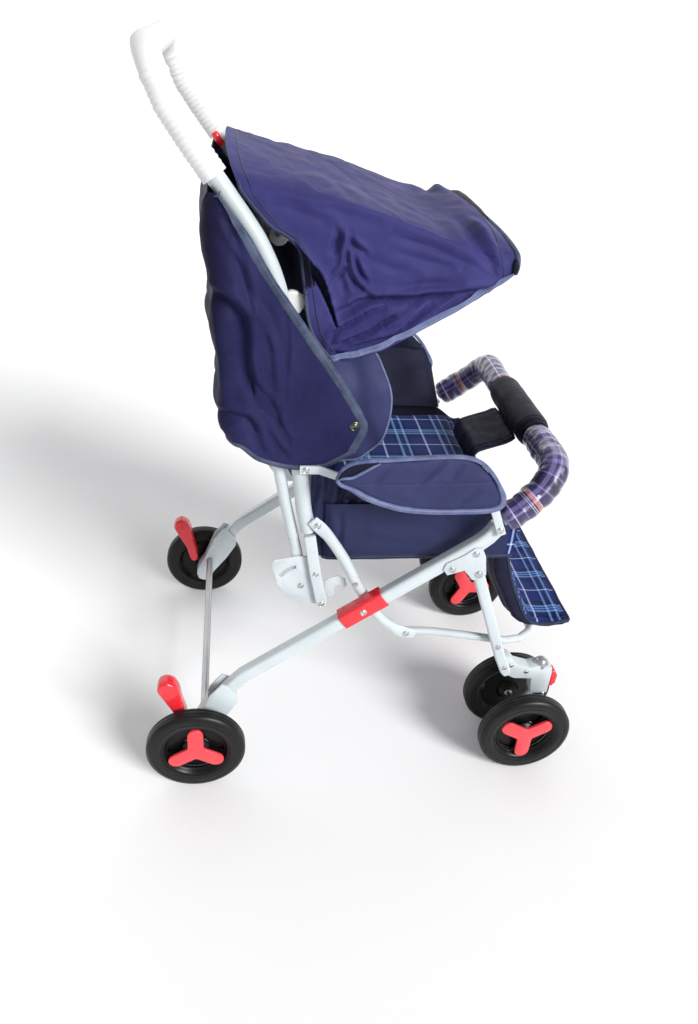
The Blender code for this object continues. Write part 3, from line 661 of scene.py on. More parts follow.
def plaid(name, vec_of, period, warp, weft, rough=0.6, pitch=0.0011, film=False, sheen=0.2):
    """Woven check: two striped thread sets crossing, with the cross points showing."""
    b = Build(name)
    x, y, z = b.xyz(vec_of(b))
    rest = b.attr("rest")
    cu = b.ramp(b.math("FRACT", b.math("DIVIDE", x, period[0])), warp, "CONSTANT")
    cv = b.ramp(b.math("FRACT", b.math("DIVIDE", y, period[1])), weft, "CONSTANT")
    k = 2 * PI / pitch
    tw = b.math("SINE", b.math("MULTIPLY", b.math("ADD", x, y), k))
    fac = b.math("MULTIPLY_ADD", tw, 0.22, 0.5, True)
    col = b.mix(fac, cu, cv)
    wv = b.math("MULTIPLY_ADD", b.math("MULTIPLY", b.math("SINE", b.math("MULTIPLY", x, k)), b.math("SINE", b.math("MULTIPLY", y, k))), 0.5, 0.5)
    col = b.mix(0.5, col, b.ramp(wv, [(0.05, 0.66), (0.5, 1.0), (0.95, 1.12)]), "MULTIPLY")
    col = b.mix(0.35, col, b.ramp(b.noise(rest, 9.0, 3.0), [(0.3, 0.75), (0.7, 1.1)]), "MULTIPLY")
    n1 = b.bump(b.noise(rest, 26.0, 3.0, 0.55, 1.0), 0.0016, 0.5)
    n2 = b.bump(wv, 0.00015, 0.7, n1)
    if film:
        crink = b.math("ADD", b.voro(rest, 34.0), b.math("MULTIPLY", b.noise(rest, 60.0, 3.0, 0.6, 2.0), 0.7))
        n3 = b.bump(crink, 0.0030, 0.7)
        rr = b.ramp(b.noise(rest, 18.0, 3.0), [(0.35, 0.30), (0.7, 0.45)])
        b.set(color=col, rough=rr, normal=n2, coat=1.0, coat_rough=0.05, coat_normal=n3, spec=0.5)
    else:
        b.set(color=col, rough=rough, normal=n2, spec=0.14, sheen=sheen * 0.4, sheen_rough=0.4, sheen_tint=(0.5, 0.6, 0.9))
    return b.m


def paint_mat(name, base, low, rough=0.32, metal=0.0, coat=0.35):
    b = Build(name)
    p = b.obj()
    col = b.ramp(b.noise(p, 14.0, 4.0, 0.6), [(0.3, low), (0.7, base)])
    speck = b.ramp(b.noise(p, 420.0, 2.0, 0.6), [(0.70, 0.0), (0.76, 1.0)])
    col = b.mix(b.math("MULTIPLY", speck, 0.10), col, (0.30, 0.31, 0.32))
    scr = b.ramp(b.noise(b.stretch(p, 3.0, 40.0, 60.0), 9.0, 3.0, 0.7, 0.6), [(0.70, 0.0), (0.74, 1.0)])
    col = b.mix(b.math("MULTIPLY", scr, 0.18), col, (0.36, 0.37, 0.38))
    peel = b.noise(p, 260.0, 2.0, 0.5)
    n = b.bump(peel, 0.00012, 0.35)
    rg = b.math("MULTIPLY_ADD", b.noise(p, 35.0, 3.0, 0.6), 0.20, rough - 0.10)
    b.set(color=col, rough=rg, normal=n, metal=metal, coat=coat, coat_rough=0.12)
    return b.m


def plastic_mat(name, base, low, rough=0.3, coat=0.0, grain=300.0, depth=0.00008, sub=0.0, wear=(0.5, 0.5, 0.5), wear_amount=0.08, spec=0.5):
    b = Build(name)
    p = b.obj()
    col = b.ramp(b.noise(p, 20.0, 3.0, 0.5), [(0.3, low), (0.7, base)])
    scr = b.ramp(b.noise(b.stretch(p, 60.0, 50.0, 4.0), 7.0, 3.0, 0.7, 0.8), [(0.69, 0.0), (0.74, 1.0)])
    col = b.mix(b.math("MULTIPLY", scr, wear_amount), col, wear)
    n = b.bump(b.noise(p, grain, 2.0, 0.5), depth, 0.5)
    rg = b.math("MULTIPLY_ADD", b.noise(p, 45.0, 3.0, 0.6), 0.16, rough - 0.08)
    b.set(color=col, rough=rg, normal=n, spec=spec, coat=coat, coat_rough=0.08)
    if sub:
        b.set(sub=sub, sub_scale=0.002)
    return b.m


M_PAINT = paint_mat("frame_paint", (0.565, 0.618, 0.642), (0.490, 0.546, 0.572), 0.30, 0.0, 0.40)
M_STEEL = paint_mat("zinc", (0.50, 0.51, 0.52), (0.38, 0.39, 0.40), 0.34, 0.9, 0.0)
M_RIVET = paint_mat("rivet_steel", (0.62, 0.63, 0.64), (0.50, 0.51, 0.52), 0.25, 0.95, 0.0)
M_SNAP = paint_mat("snap_metal", (0.20, 0.20, 0.15), (0.11, 0.11, 0.09), 0.30, 0.9, 0.0)
M_WHITE = plastic_mat("white_plastic", (0.74, 0.745, 0.735), (0.68, 0.685, 0.675), 0.40, 0.0, 350.0, 0.0001, 0.05, (0.55, 0.54, 0.50), 0.10)
M_RED = plastic_mat("red_plastic", (0.78, 0.022, 0.034), (0.66, 0.014, 0.024), 0.28, 0.4, 240.0, 0.0001, 0.0, (0.9, 0.25, 0.25), 0.12)
M_PINK = plastic_mat("red_insert", (0.80, 0.052, 0.066), (0.70, 0.038, 0.050), 0.34, 0.2, 260.0, 0.0001, 0.0, (0.95, 0.35, 0.35), 0.10)
M_BLACK = plastic_mat("black_plastic", (0.006, 0.006, 0.006), (0.003, 0.003, 0.003), 0.34, 0.0, 260.0, 0.0001, 0.0, (0.08, 0.08, 0.08), 0.12, 0.22)
M_TYRE = plastic_mat("tyre", (0.010, 0.010, 0.0095), (0.005, 0.005, 0.005), 0.38, 0.0, 190.0, 0.0002, 0.0, (0.07, 0.06, 0.055), 0.20, 0.26)
M_NAVY = fabric("navy_satin", (0.030, 0.028, 0.114), (0.050, 0.047, 0.174), 0.52, 0.0009, 0.015, (0.45, 0.45, 0.95), 0.0010, 0.06)
# the back cover's cloth carries painted shade, drawn darker toward its rear
M_NAVY3 = fabric("navy_satin_back", (0.017, 0.0165, 0.064), (0.028, 0.027, 0.098), 0.52, 0.0009, 0.015, (0.45, 0.45, 0.95), 0.0010, 0.06, painted_rear_shade=(-0.2385, -0.2050, 0.34))
M_NAVY2 = fabric("navy_cloth", (0.029, 0.032, 0.094), (0.044, 0.049, 0.134), 0.54, 0.0010, 0.08, (0.42, 0.45, 0.80), 0.0010)
# navy_cloth drawn darker as painted shade, for the skirt and seat corners that hang in shade
M_SKIRT = fabric("skirt_navy", (0.021, 0.025, 0.070), (0.033, 0.038, 0.104), 0.52, 0.0010, 0.06, (0.42, 0.45, 0.80), 0.0010)
M_DARK = fabric("dark_lining", (0.0055, 0.0060, 0.0180), (0.0095, 0.0100, 0.0300), 0.62, 0.0010, 0.03, (0.25, 0.25, 0.45))
M_PAD = fabric("dark_pad", (0.0060, 0.0063, 0.0150), (0.0105, 0.0110, 0.0250), 0.52, 0.0009, 0.05, (0.35, 0.35, 0.50))
M_STRAP = fabric("strap_navy", (0.0075, 0.0080, 0.0250), (0.0125, 0.0135, 0.0400), 0.52, 0.0009, 0.05, (0.35, 0.35, 0.55))


def binding(name, dark, light, dash=(0.30, 0.32, 0.45)):
    """Folded tape with a row of stitches; its map gives length and place across."""
    b = Build(name)
    s, v, _ = b.xyz(b.uv())
    p = b.attr("rest")
    col = b.ramp(b.noise(p, 60.0, 3.0, 0.6), [(0.3, dark), (0.7, light)])
    rib = b.math("MULTIPLY_ADD", b.math("SINE", b.math("MULTIPLY", s, 2 * PI / 0.0011)), 0.5, 0.5)
    col = b.mix(0.4, col, b.ramp(rib, [(0.0, 0.7), (1.0, 1.1)]), "MULTIPLY")
    on = b.math("LESS_THAN", b.math("FRACT", b.math("DIVIDE", s, 0.0034)), 0.62)
    band = b.math("LESS_THAN", b.math("ABSOLUTE", b.math("SUBTRACT", b.math("FRACT", b.math("MULTIPLY", v, 2.0)), 0.12)), 0.035)
    st = b.math("MULTIPLY", on, band)
    col = b.mix(st, col, dash)
    n = b.bump(rib, 0.00015, 0.5)
    n = b.bump(st, 0.0003, 0.6, n)
    b.set(color=col, rough=0.55, normal=n, spec=0.2, sheen=0.08, sheen_rough=0.4, sheen_tint=(0.6, 0.65, 0.85))
    return b.m


M_BIND = binding("binding_light", (0.080, 0.100, 0.210), (0.165, 0.190, 0.340), (0.25, 0.28, 0.42))
M_BIND_D = binding("binding_dark", (0.012, 0.016, 0.044), (0.030, 0.036, 0.080), (0.12, 0.14, 0.22))
M_BIND_M = binding("binding_mid", (0.030, 0.042, 0.080), (0.075, 0.095, 0.155), (0.10, 0.12, 0.185))

NV, BL, LB, WH = (0.0035, 0.005, 0.030), (0.007, 0.019, 0.130), (0.200, 0.390, 0.760), (0.56, 0.66, 0.88)
M_PLAID = plaid(
    "seat_plaid", lambda b: b.attr("plaid"), (0.0705, 0.092),
    [(0.0, WH), (0.020, BL), (0.28, NV), (0.36, LB), (0.42, BL), (0.47, NV), (0.50, BL), (0.545, LB), (0.60, NV), (0.67, BL), (0.980, WH)],
    [(0.0, WH), (0.014, BL), (0.24, NV), (0.37, BL), (0.40, LB), (0.445, BL), (0.475, LB), (0.505, BL), (0.535, LB), (0.58, NV), (0.70, BL), (0.986, WH)],
)
PU, PD, LV, OR, PW = (0.026, 0.017, 0.120), (0.008, 0.006, 0.040), (0.270, 0.210, 0.500), (0.85, 0.30, 0.17), (0.82, 0.70, 0.86)
mm = [(0, LV), (2.5, PU), (12, PW), (13.6, PU), (26, LV), (27.5, PU), (37, PW), (38.5, PD), (40, PW), (41.4, PD), (43.5, OR), (49, PW), (50.4, PU), (65, LV), (67, PD), (84, LV), (86, PU), (98, LV), (103, PU), (108, LV), (112, PU), (125, PW), (127, PU)]
M_BUMP = plaid(
    "bumper_plaid", lambda b: b.uv(), (0.150, 1.0),
    [(q / 150, c) for q, c in mm],
    [(0.0, PD), (0.10, PU), (0.16, PW), (0.178, PU), (0.33, LV), (0.38, PU), (0.42, LV), (0.445, PD), (0.60, PW), (0.615, PU), (0.78, LV), (0.86, PU), (0.90, OR), (0.915, PD)],
    film=True,
)

HANDLED = set()


def body_of(node):
    return NODES[node]["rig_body"]


def skin(node, mat, width=0.0009, segs=2, angle=28):
    """A copy of a CAD node with softened edges, which stands for it."""
    src = NODES[node]
    ob = bpy.data.objects.new("v_" + node, src.data.copy())
    bpy.context.scene.collection.objects.link(ob)
    ob.data.materials.clear()
    ob.data.materials.append(mat)
    bm = bmesh.new()
    bm.from_mesh(ob.data)
    bmesh.ops.remove_doubles(bm, verts=bm.verts, dist=1e-5)
    bmesh.ops.dissolve_limit(bm, angle_limit=math.radians(1.5), verts=bm.verts, edges=bm.edges)
    bm.to_mesh(ob.data)
    bm.free()
    if width:
        md = ob.modifiers.new("edge", "BEVEL")
        md.width = width
        md.segments = segs
        md.limit_method = "ANGLE"
        md.angle_limit = math.radians(angle)
        md.use_clamp_overlap = True
        bake(ob)
    shade(ob, 35)
    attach(ob, body_of(node))
    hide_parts(node)
    HANDLED.add(node)
    return ob


def soft_skin(node, mat, voxel, rounds):
    """A copy of a CAD node with well rounded form."""
    ob = skin(node, mat, 0.0, 2)
    md = ob.modifiers.new("remesh", "REMESH")
    md.mode = "VOXEL"
    md.voxel_size = voxel
    md = ob.modifiers.new("smooth", "SMOOTH")
    md.factor = 0.5
    md.iterations = rounds
    bake(ob)
    return shade(ob, 80)


def stand(ob, node):
    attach(ob, body_of(node))
    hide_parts(node)
    HANDLED.add(node)
    return ob


# ================================================================ wheels
WR = 0.075


def arms_outline(length, width, deg, n=144):
    """Outline of three round-ended arms from one centre."""
    out = []
    h = width / 2
    for i in range(n):
        g = 2 * PI * i / n
        best = 0.0
        for a in range(3):
            e = (g - math.radians(deg + 120 * a) + PI) % (2 * PI) - PI
            if abs(e) >= PI / 2:
                continue
            s, c = abs(math.sin(e)), math.cos(e)
            cl = length - h
            r = h / s if s > 1e-6 else 9.0
            if r * c > cl:
                d = cl * cl * c * c - (cl * cl - h * h)
                r = cl * c + math.sqrt(max(0.0, d))
            best = max(best, r)
        best = max(best, width * 0.62)
        out.append((best * math.cos(g), best * math.sin(g)))
    for _ in range(2):
        m = len(out)
        out = [((out[i - 1][0] + 4 * out[i][0] + out[(i + 1) % m][0]) / 6, (out[i - 1][1] + 4 * out[i][1] + out[(i + 1) % m][1]) / 6) for i in range(m)]
    return out


def wheel(tag, x, y, s, deg, tyre_node, hub_node):
    c = (x, y, WR)
    ax = (0, s, 0)
    half = [(0.0524, 0.0108), (0.0545, 0.0119), (0.0580, 0.0127), (0.0622, 0.0130), (0.0628, 0.0126), (0.0634, 0.0129), (0.0668, 0.0127), (0.0700, 0.0118), (0.0724, 0.0103), (0.0741, 0.0085), (0.0749, 0.0066), (0.0750, 0.0046), (0.0745, 0.0040), (0.0745, 0.0034), (0.0750, 0.0028), (0.0750, 0.0010)]
    prof = half + [(r, -w) for r, w in half[::-1]]
    t = lathe("tyre_" + tag, prof, c, ax, M_TYRE, 112, 50)
    stand(t, tyre_node)

    n = 120
    rim = [(0.0522, -0.0105), (0.0522, 0.0100), (0.0516, 0.0106), (0.0500, 0.0107), (0.0488, 0.0100), (0.0462, 0.0056), (0.0446, 0.0036), (0.0430, 0.0030), (0.0430, -0.0006), (0.0446, -0.0012), (0.0488, -0.0090), (0.0500, -0.0106)]
    boss = [(0.0205, -0.0008), (0.0205, 0.0030), (0.0180, 0.0048), (0.0150, 0.0080), (0.0135, 0.0086), (0.0045, 0.0086), (0.0045, -0.0112), (0.0130, -0.0112), (0.0150, -0.0090)]
    vs = []
    for i in range(n):
        a = math.radians(deg) + 2 * PI * i / n
        for r, w in rim + boss:
            vs.append((x + r * math.cos(a), y + s * w, WR + r * math.sin(a)))
    k = len(rim) + len(boss)
    R = len(rim)
    fs = []
    per = n // 3
    hw = per * 3 // 16
    arm = [min(i % per, per - i % per - 1) < hw for i in range(n)]
    for i in range(n):
        p, q = i * k, ((i + 1) % n) * k

        def quad(a, b_):
            fs.append((p + a, p + b_, q + b_, q + a))

        for j in range(7):
            quad(j, j + 1)
        for j in range(8, R - 1):
            quad(j, j + 1)
        quad(R - 1, 0)
        for j in range(R + 1, R + len(boss) - 1):
            quad(j, j + 1)
        quad(R + len(boss) - 1, R)
        if arm[i]:
            quad(7, R + 1)
            quad(R, 8)
        else:
            quad(7, 8)
            quad(R, R + 1)
        if arm[i] != arm[i - 1]:
            fs.append((p + 7, p + 8, p + R, p + R + 1))
    h = mesh("hub_" + tag, vs, fs, M_BLACK, 42)
    stand(h, hub_node)

    # dark web behind the windows
    web = lathe("hub_web_" + tag, [(0.0195, -0.0042), (0.0440, -0.0042), (0.0440, -0.0030), (0.0195, -0.0030)], c, ax, M_BLACK, 72, 40)
    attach(web, body_of(hub_node))
    o = arms_outline(0.0468, 0.0240, deg)
    m = len(o)
    lay = [(1.0, 0.0074), (1.0, 0.0106), (0.975, 0.0113), (0.93, 0.0116)]
    vs = []
    for g, w in lay:
        shrink = (1 - g) * 0.02
        for a, b_ in o:
            L = math.hypot(a, b_)
            f = (L - shrink) / L
            vs.append((x + a * f, y + s * w, WR + b_ * f))
    fs = [(i * m + j, i * m + (j + 1) % m, (i + 1) * m + (j + 1) % m, (i + 1) * m + j) for i in range(len(lay) - 1) for j in range(m)]
    top = len(vs)
    vs.append((x, y + s * 0.0119, WR))
    vs.append((x, y + s * 0.0074, WR))
    e = (len(lay) - 1) * m
    for j in range(m):
        fs.append((e + j, e + (j + 1) % m, top))
        fs.append(((j + 1) % m, j, top + 1))
    y3 = mesh("insert_" + tag, vs, fs, M_PINK, 40)
    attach(y3, body_of(hub_node))
    cap = lathe("axle_end_" + tag, [(0.0, -0.0125), (0.0058, -0.0125), (0.0064, -0.0118), (0.0064, -0.0113), (0.0, -0.0113)], c, ax, M_RIVET, 28, 40, False)
    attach(cap, body_of(hub_node))


for tag, s in (("right", -1), ("left", 1)):
    wheel("rear_" + tag, 0.0, s * 0.247, s, 90, "rear_tyre_" + tag, "rear_hub_" + tag)
    wheel("front_outer_" + tag, 0.525, s * 0.244, s, 30, "front_tyre_outer_" + tag, "front_hub_outer_" + tag)
    wheel("front_inner_" + tag, 0.525, s * 0.146, -s, 0, "front_tyre_inner_" + tag, "front_hub_inner_" + tag)

# ================================================================ frame tubes
PAINTED = ["rear_bracket", "front_gusset", "leg_channel", "sector_plate", "arm_rail", "front_leg", "caster_housing"]
for tag, s in (("right", -1), ("left", 1)):
    for n in PAINTED:
        skin(n + "_" + tag, M_PAINT, 0.0005 if n in ("front_gusset", "sector_plate", "arm_rail") else 0.0010, 2)
    skin("diagonal_bar_" + tag, M_PAINT, 0.0016, 3)
    skin("pivot_sleeve_" + tag, M_RED, 0.0010, 3)
    skin("caster_fork_" + tag, M_STEEL, 0.0012, 3)
    skin("swivel_lever_" + tag, M_RED, 0.0022, 3)
    soft_skin("brake_pedal_" + tag, M_RED, 0.0016, 44)
    skin("hood_hinge_" + tag, M_WHITE, 0.0022, 3)

stand(sweep("cross_tube", [(0.012, -0.1971, 0.108), (0.012, 0.1971, 0.108)], 0.006, M_STEEL, 28), "rear_cross_tube")

hp = [
    (0.1628, 0.178, 0.4290), (0.155, 0.178, 0.4595), (0.145, 0.178, 0.5375), (0.1285, 0.178, 0.650), (0.113, 0.1765, 0.764),
    (0.103, 0.1745, 0.792), (0.088, 0.172, 0.822), (0.066, 0.169, 0.853), (0.0405, 0.166, 0.886), (0.015, 0.1625, 0.920),
    (-0.008, 0.1595, 0.953),
]


def on_side(pts, s):
    return [(p[0], s * p[1], p[2]) for p in pts]


corner = (-0.0300, 0.156, 1.0040)
full = on_side(hp, -1) + on_side([corner], -1) + [corner] + hp[::-1]
hpath = bend(full, {11: 0.030, 12: 0.030}, 14)
hsm = smooth_path(even(hpath, 0.006), 3)
stand(sweep("handle_tube_v", hsm, 0.011, M_PAINT, 28), "handle_tube")
gp = [p for p in even(hpath, 0.0011) if p.z > 0.8858]
gp = smooth_path(gp, 3)
glen = arc_len(gp)[-1]


def grip_r(i, s, g):
    e = min(s, glen - s)
    z = gp[i].z
    rib = 0.0
    flat_zone = 0.112 < e < 0.160
    if e > 0.006 and not flat_zone:
        ph = (s / 0.0062) % 1.0
        rib = 0.0011 * (0.5 - 0.5 * math.cos(2 * PI * ph)) ** 0.6
    r = 0.01475 + rib
    if flat_zone:
        r = 0.0152
    if e < 0.006:
        r = 0.0155
    return r


stand(sweep("grip", gp, grip_r, M_WHITE, 32, inner=0.01135, angle=60), "handle_grip")
# smooth collars at the bends, as separate mouldings over the ribs
for k, (a, b_) in enumerate(((0.110, 0.116), (0.156, 0.162))):
    for q in (0, 1):
        lo, hi = (a, b_) if q == 0 else (glen - b_, glen - a)
        ss = arc_len(gp)
        seg = [p for p, d in zip(gp, ss) if lo <= d <= hi]
        ring = sweep("grip_collar_%d_%d" % (k, q), seg, [0.0158 + 0.0008 * math.sin(PI * t / (len(seg) - 1)) for t in range(len(seg))], M_WHITE, 32, inner=0.0145)
        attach(ring, "handle")

for tag, s in (("right", -1), ("left", 1)):
    cp = [
        (0.166, 0.1915, 0.4530), (0.178, 0.1915, 0.4400), (0.192, 0.1908, 0.4230), (0.216, 0.1905, 0.3840), (0.236, 0.1905, 0.3420),
        (0.2445, 0.1905, 0.3270), (0.259, 0.1905, 0.3020), (0.279, 0.1905, 0.2755), (0.300, 0.1920, 0.2580), (0.315, 0.1945, 0.2500), (0.333, 0.1945, 0.2440),
    ]
    a = [0.0080, 0.0095, 0.0082] + [0.008] * 5 + [0.0088, 0.0098, 0.0080]
    bb = [0.0019, 0.0019, 0.0060] + [0.00784] * 5 + [0.0060, 0.0019, 0.0019]
    fine = catmull(on_side(cp, s), 6)
    fa = [v.x for v in catmull([(q, 0, 0) for q in a], 6)]
    fb = [v.x for v in catmull([(q, 0, 0) for q in bb], 6)]
    stand(sweep("curved_tube_v_" + tag, fine, fa, M_PAINT, 28, normal=(0, 1, 0), flat=fb), "curved_tube_" + tag)

rl = [
    (0.1570, 0.17495, 0.3240, 0.0060, 0.0019), (0.1550, 0.17495, 0.3320, 0.0080, 0.0019), (0.1500, 0.17495, 0.3720, 0.0088, 0.0019), (0.1480, 0.1725, 0.3860, 0.0084, 0.0040),
    (0.1455, 0.1700, 0.3980, 0.008, 0.008), (0.1280, 0.1700, 0.4770, 0.008, 0.008), (0.1170, 0.1700, 0.5350, 0.008, 0.008), (0.1000, 0.1680, 0.6300, 0.008, 0.008),
    (0.0830, 0.1640, 0.7250, 0.008, 0.008),
]
P = [Vector((p[0], -p[1], p[2])) for p in rl] + [Vector((0.0700, -0.1600, 0.7970)), Vector((0.0700, 0.1600, 0.7970))] + [Vector((p[0], p[1], p[2])) for p in rl[::-1]]
A = [(p[3], p[4]) for p in rl]
pth = bend(P, {9: 0.028, 10: 0.028}, 12)
AB = A + [(0.008, 0.008)] * (len(pth) - 2 * len(A)) + A[::-1]
fr = frames(pth)
vs = []
for (p, t, n, b_), (ha, hb) in zip(fr, AB):
    for j in range(28):
        g = 2 * PI * j / 28
        vs.append(p + n * (hb * math.cos(g)) + b_ * (ha * math.sin(g)))
m = len(pth)
fs = [(i * 28 + j, i * 28 + (j + 1) % 28, (i + 1) * 28 + (j + 1) % 28, (i + 1) * 28 + j) for i in range(m - 1) for j in range(28)]
fs += [tuple(range(28)), tuple(range(m * 28 - 28, m * 28))]
stand(mesh("recline_frame_v", vs, fs, M_PAINT, 50), "recline_frame")

half = [(0.1295, 0.1515, 0.7470), (0.20, 0.1540, 0.7640), (0.30, 0.1600, 0.7870), (0.3900, 0.1650, 0.8090)]
bow = bend(on_side(half, -1) + half[::-1], {3: 0.030, 4: 0.030}, 10)
stand(sweep("hood_bow_v", bow, 0.004, M_WHITE, 20), "hood_bow")

half = [(0.3190, 0.1850, 0.2460), (0.361, 0.1860, 0.2440), (0.4095, 0.1920, 0.2400), (0.4560, 0.1985, 0.2360), (0.480, 0.1960, 0.2300), (0.510, 0.1800, 0.2190), (0.540, 0.1500, 0.2100)]
foot = bend(on_side(half, -1) + half[::-1], {5: 0.02, 6: 0.030, 7: 0.030, 8: 0.02}, 8)
stand(sweep("footrest_tube_v", foot, 0.006, M_PAINT, 24), "footrest_tube")

bh = [(0.4300, 0.2105, 0.4632), (0.452, 0.2080, 0.4795), (0.480, 0.2010, 0.5030), (0.5035, 0.1900, 0.5340)]
bfull = [(p[0], -p[1], p[2]) for p in bh] + [(0.5035, 0.19, 0.5340)] + bh[2::-1]
bpath = bend(bfull, {3: 0.034, 4: 0.034}, 12)
stand(sweep("bumper_tube_v", bpath, 0.008, M_PAINT, 24), "bumper_tube")

# ================================================================ rivets and small hardware
for tag, s in (("right", -1), ("left", 1)):
    y = s * 0.2222
    out = (0, s, 0)
    for k, (x, z) in enumerate(((0.366, 0.388), (0.397, 0.4145), (0.4065, 0.3785))):
        dome("gusset_rivet_%d_%s" % (k, tag), (x, y, z), out, 0.0042 if k < 2 else 0.0052, 0.0018, M_RIVET, "chassis", ring=0.0012)
    dome("sleeve_rivet_" + tag, (0.2445, s * 0.2217, 0.3129), out, 0.0040, 0.0018, M_RIVET, "chassis", ring=0.0010)
    for k, (x, z) in enumerate(((0.1752, 0.3585), (0.1868, 0.3035))):
        dome("channel_rivet_%d_%s" % (k, tag), (x, s * 0.1889, z), out, 0.0036, 0.0014, M_RIVET, "handle", ring=0.0008)
    dome("plate_rivet_" + tag, (0.1555, s * 0.1797, 0.3315), out, 0.0040, 0.0014, M_RIVET, "handle", ring=0.0010)
    dome("curve_rivet_" + tag, (0.3185, s * 0.1963, 0.2485), out, 0.0042, 0.0016, M_RIVET, "handle", ring=0.0012)
    dome("curve_top_rivet_" + tag, (0.1735, s * 0.1934, 0.4450), out, 0.0040, 0.0016, M_RIVET, "handle", ring=0.0010)
    for k, (x, z) in enumerate(((0.4955, 0.1835), (0.5240, 0.1690))):
        dome("housing_rivet_%d_%s" % (k, tag), (x, s * 0.2057, z), out, 0.0034, 0.0014, M_RIVET, "front_frame", ring=0.0010)
    dome("leg_foot_rivet_" + tag, (0.4790, s * 0.2194, 0.1925), out, 0.0036, 0.0014, M_RIVET, "front_frame", ring=0.0010)
    dome("leg_bar_rivet_" + tag, (0.4605, s * 0.2194, 0.2360), out, 0.0036, 0.0014, M_RIVET, "front_frame", ring=0.0010)
    dome("arm_front_rivet_" + tag, (0.4235, s * 0.2264, 0.4570), out, 0.0042, 0.0018, M_RIVET, "armrests", ring=0.0012)
    dome("arm_rear_rivet_" + tag, (0.1530, s * 0.1969, 0.5350), out, 0.0040, 0.0016, M_RIVET, "armrests", ring=0.0010)
    # nut over the caster stem
    nut = []
    for k in range(9):
        g = k / 8 * PI / 2
        nut.append((0.0088 * math.cos(g), 0.0040 + 0.0060 * math.sin(g)))
    ob = lathe("stem_cap_" + tag, [(0.0, -0.006), (0.0110, -0.006), (0.0115, 0.0010), (0.0108, 0.0030), (0.0092, 0.0036)] + nut, (0.5500, s * 0.195, 0.1795), (0.12, 0, 1), M_STEEL, 36, 40, False)
    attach(ob, "front_frame")
    # stem bush between the housing and the fork
    ob = lathe("stem_bush_" + tag, [(0.0064, -0.0006), (0.0125, -0.0006), (0.0135, 0.0004), (0.0135, 0.0006), (0.0064, 0.0006)], (0.553, s * 0.195, 0.1203), (0, 0, 1), M_BLACK, 32)
    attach(ob, "front_frame")
    # black stop under the red lever
    o = [(0.5690, 0.1320), (0.5735, 0.1315), (0.5720, 0.1205), (0.5690, 0.1180)]
    vs = [(x, s * yy, z) for yy in (0.1895, 0.2005) for x, z in o]
    ob = mesh("lever_stop_" + tag, vs, [(0, 1, 2, 3), (7, 6, 5, 4), (0, 1, 5, 4), (1, 2, 6, 5), (2, 3, 7, 6), (3, 0, 4, 7)], M_BLACK, 30)
    md = ob.modifiers.new("e", "BEVEL"); md.width = 0.001; md.segments = 2
    bake(ob)
    shade(ob, 40)
    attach(ob, "front_frame")

    # lock hook beside the leg channel, with its pin on the curved tube
    o = [(0.1905, 0.3405), (0.1990, 0.3470), (0.2100, 0.3500), (0.2200, 0.3440), (0.2235, 0.3330), (0.2195, 0.3250), (0.2150, 0.3300), (0.2080, 0.3320), (0.2040, 0.3260), (0.2070, 0.3160), (0.1980, 0.3100), (0.1905, 0.3160)]
    k = len(o)
    vs = [(x, s * yy, z) for yy in (0.1800, 0.1818) for x, z in o]
    fs = [(j, (j + 1) % k, k + (j + 1) % k, k + j) for j in range(k)] + [tuple(range(k)), tuple(range(2 * k - 1, k - 1, -1))]
    ob = mesh("lock_hook_" + tag, vs, fs, M_PAINT, 30)
    md = ob.modifiers.new("e", "BEVEL"); md.width = 0.0005; md.segments = 2; md.limit_method = "ANGLE"
    bake(ob)
    shade(ob, 40)
    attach(ob, "handle")
    ob = lathe("lock_pin_" + tag, [(0.0, -0.0100), (0.0032, -0.0100), (0.0032, -0.0010), (0.0050, -0.0008), (0.0050, 0.0014), (0.0036, 0.0022), (0.0, 0.0022)], (0.2335, s * 0.1905, 0.3470), (0, -s, 0), M_STEEL, 24, 40, False)
    ob.data.transform(Matrix.Translation((0, 0, 0)))
    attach(ob, "handle")

    # small red clip between the grip and the hood's rear corner
    c = Vector((0.0400, s * 0.1475, 0.8800))
    d = Vector((-0.60, 0, 0.80))
    ob = sweep("hood_clip_" + tag, [c + d * q for q in (-0.0105, -0.0090, -0.003, 0.003, 0.0090, 0.0105)], [0.0040, 0.0052, 0.0056, 0.0056, 0.0050, 0.0036], M_RED, 24, normal=(0, 1, 0), flat=[0.0034, 0.0042, 0.0046, 0.0046, 0.0042, 0.0030])
    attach(ob, "handle")
    ob = sweep("hood_clip_tab_" + tag, [c + Vector((0.0, s * q, 0.0)) for q in (0.0, 0.004, 0.008, 0.0105)], [0.0036, 0.0036, 0.0034, 0.0034], M_RED, 16)
    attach(ob, "handle")

# ================================================================ hood
REAR_EDGE = [
    (0.1842, 0.6748), (0.1681, 0.6929), (0.1549, 0.7106), (0.1478, 0.7318), (0.1444, 0.7538), (0.1410, 0.7776), (0.1390, 0.7986), (0.1340, 0.8140),
    (0.1215, 0.8268), (0.0980, 0.8395), (0.0850, 0.8542), (0.0690, 0.8720),
]
HEM = [(0.1842, 0.6748), (0.2063, 0.6790), (0.2465, 0.6930), (0.2880, 0.7180), (0.3308, 0.7460), (0.3686, 0.7735), (0.3976, 0.7952)]
SHOULDER = [(0.0690, 0.8720), (0.134, 0.866), (0.193, 0.861), (0.250, 0.849), (0.320, 0.827), (0.352, 0.818), (0.398, 0.812)]
RIDGE = [(0.0510, 0.9085), (0.094, 0.8955), (0.139, 0.8855), (0.184, 0.8745), (0.251, 0.8550), (0.290, 0.8430), (0.315, 0.8370), (0.335, 0.8375), (0.355, 0.8420), (0.375, 0.8390), (0.3975, 0.8250)]

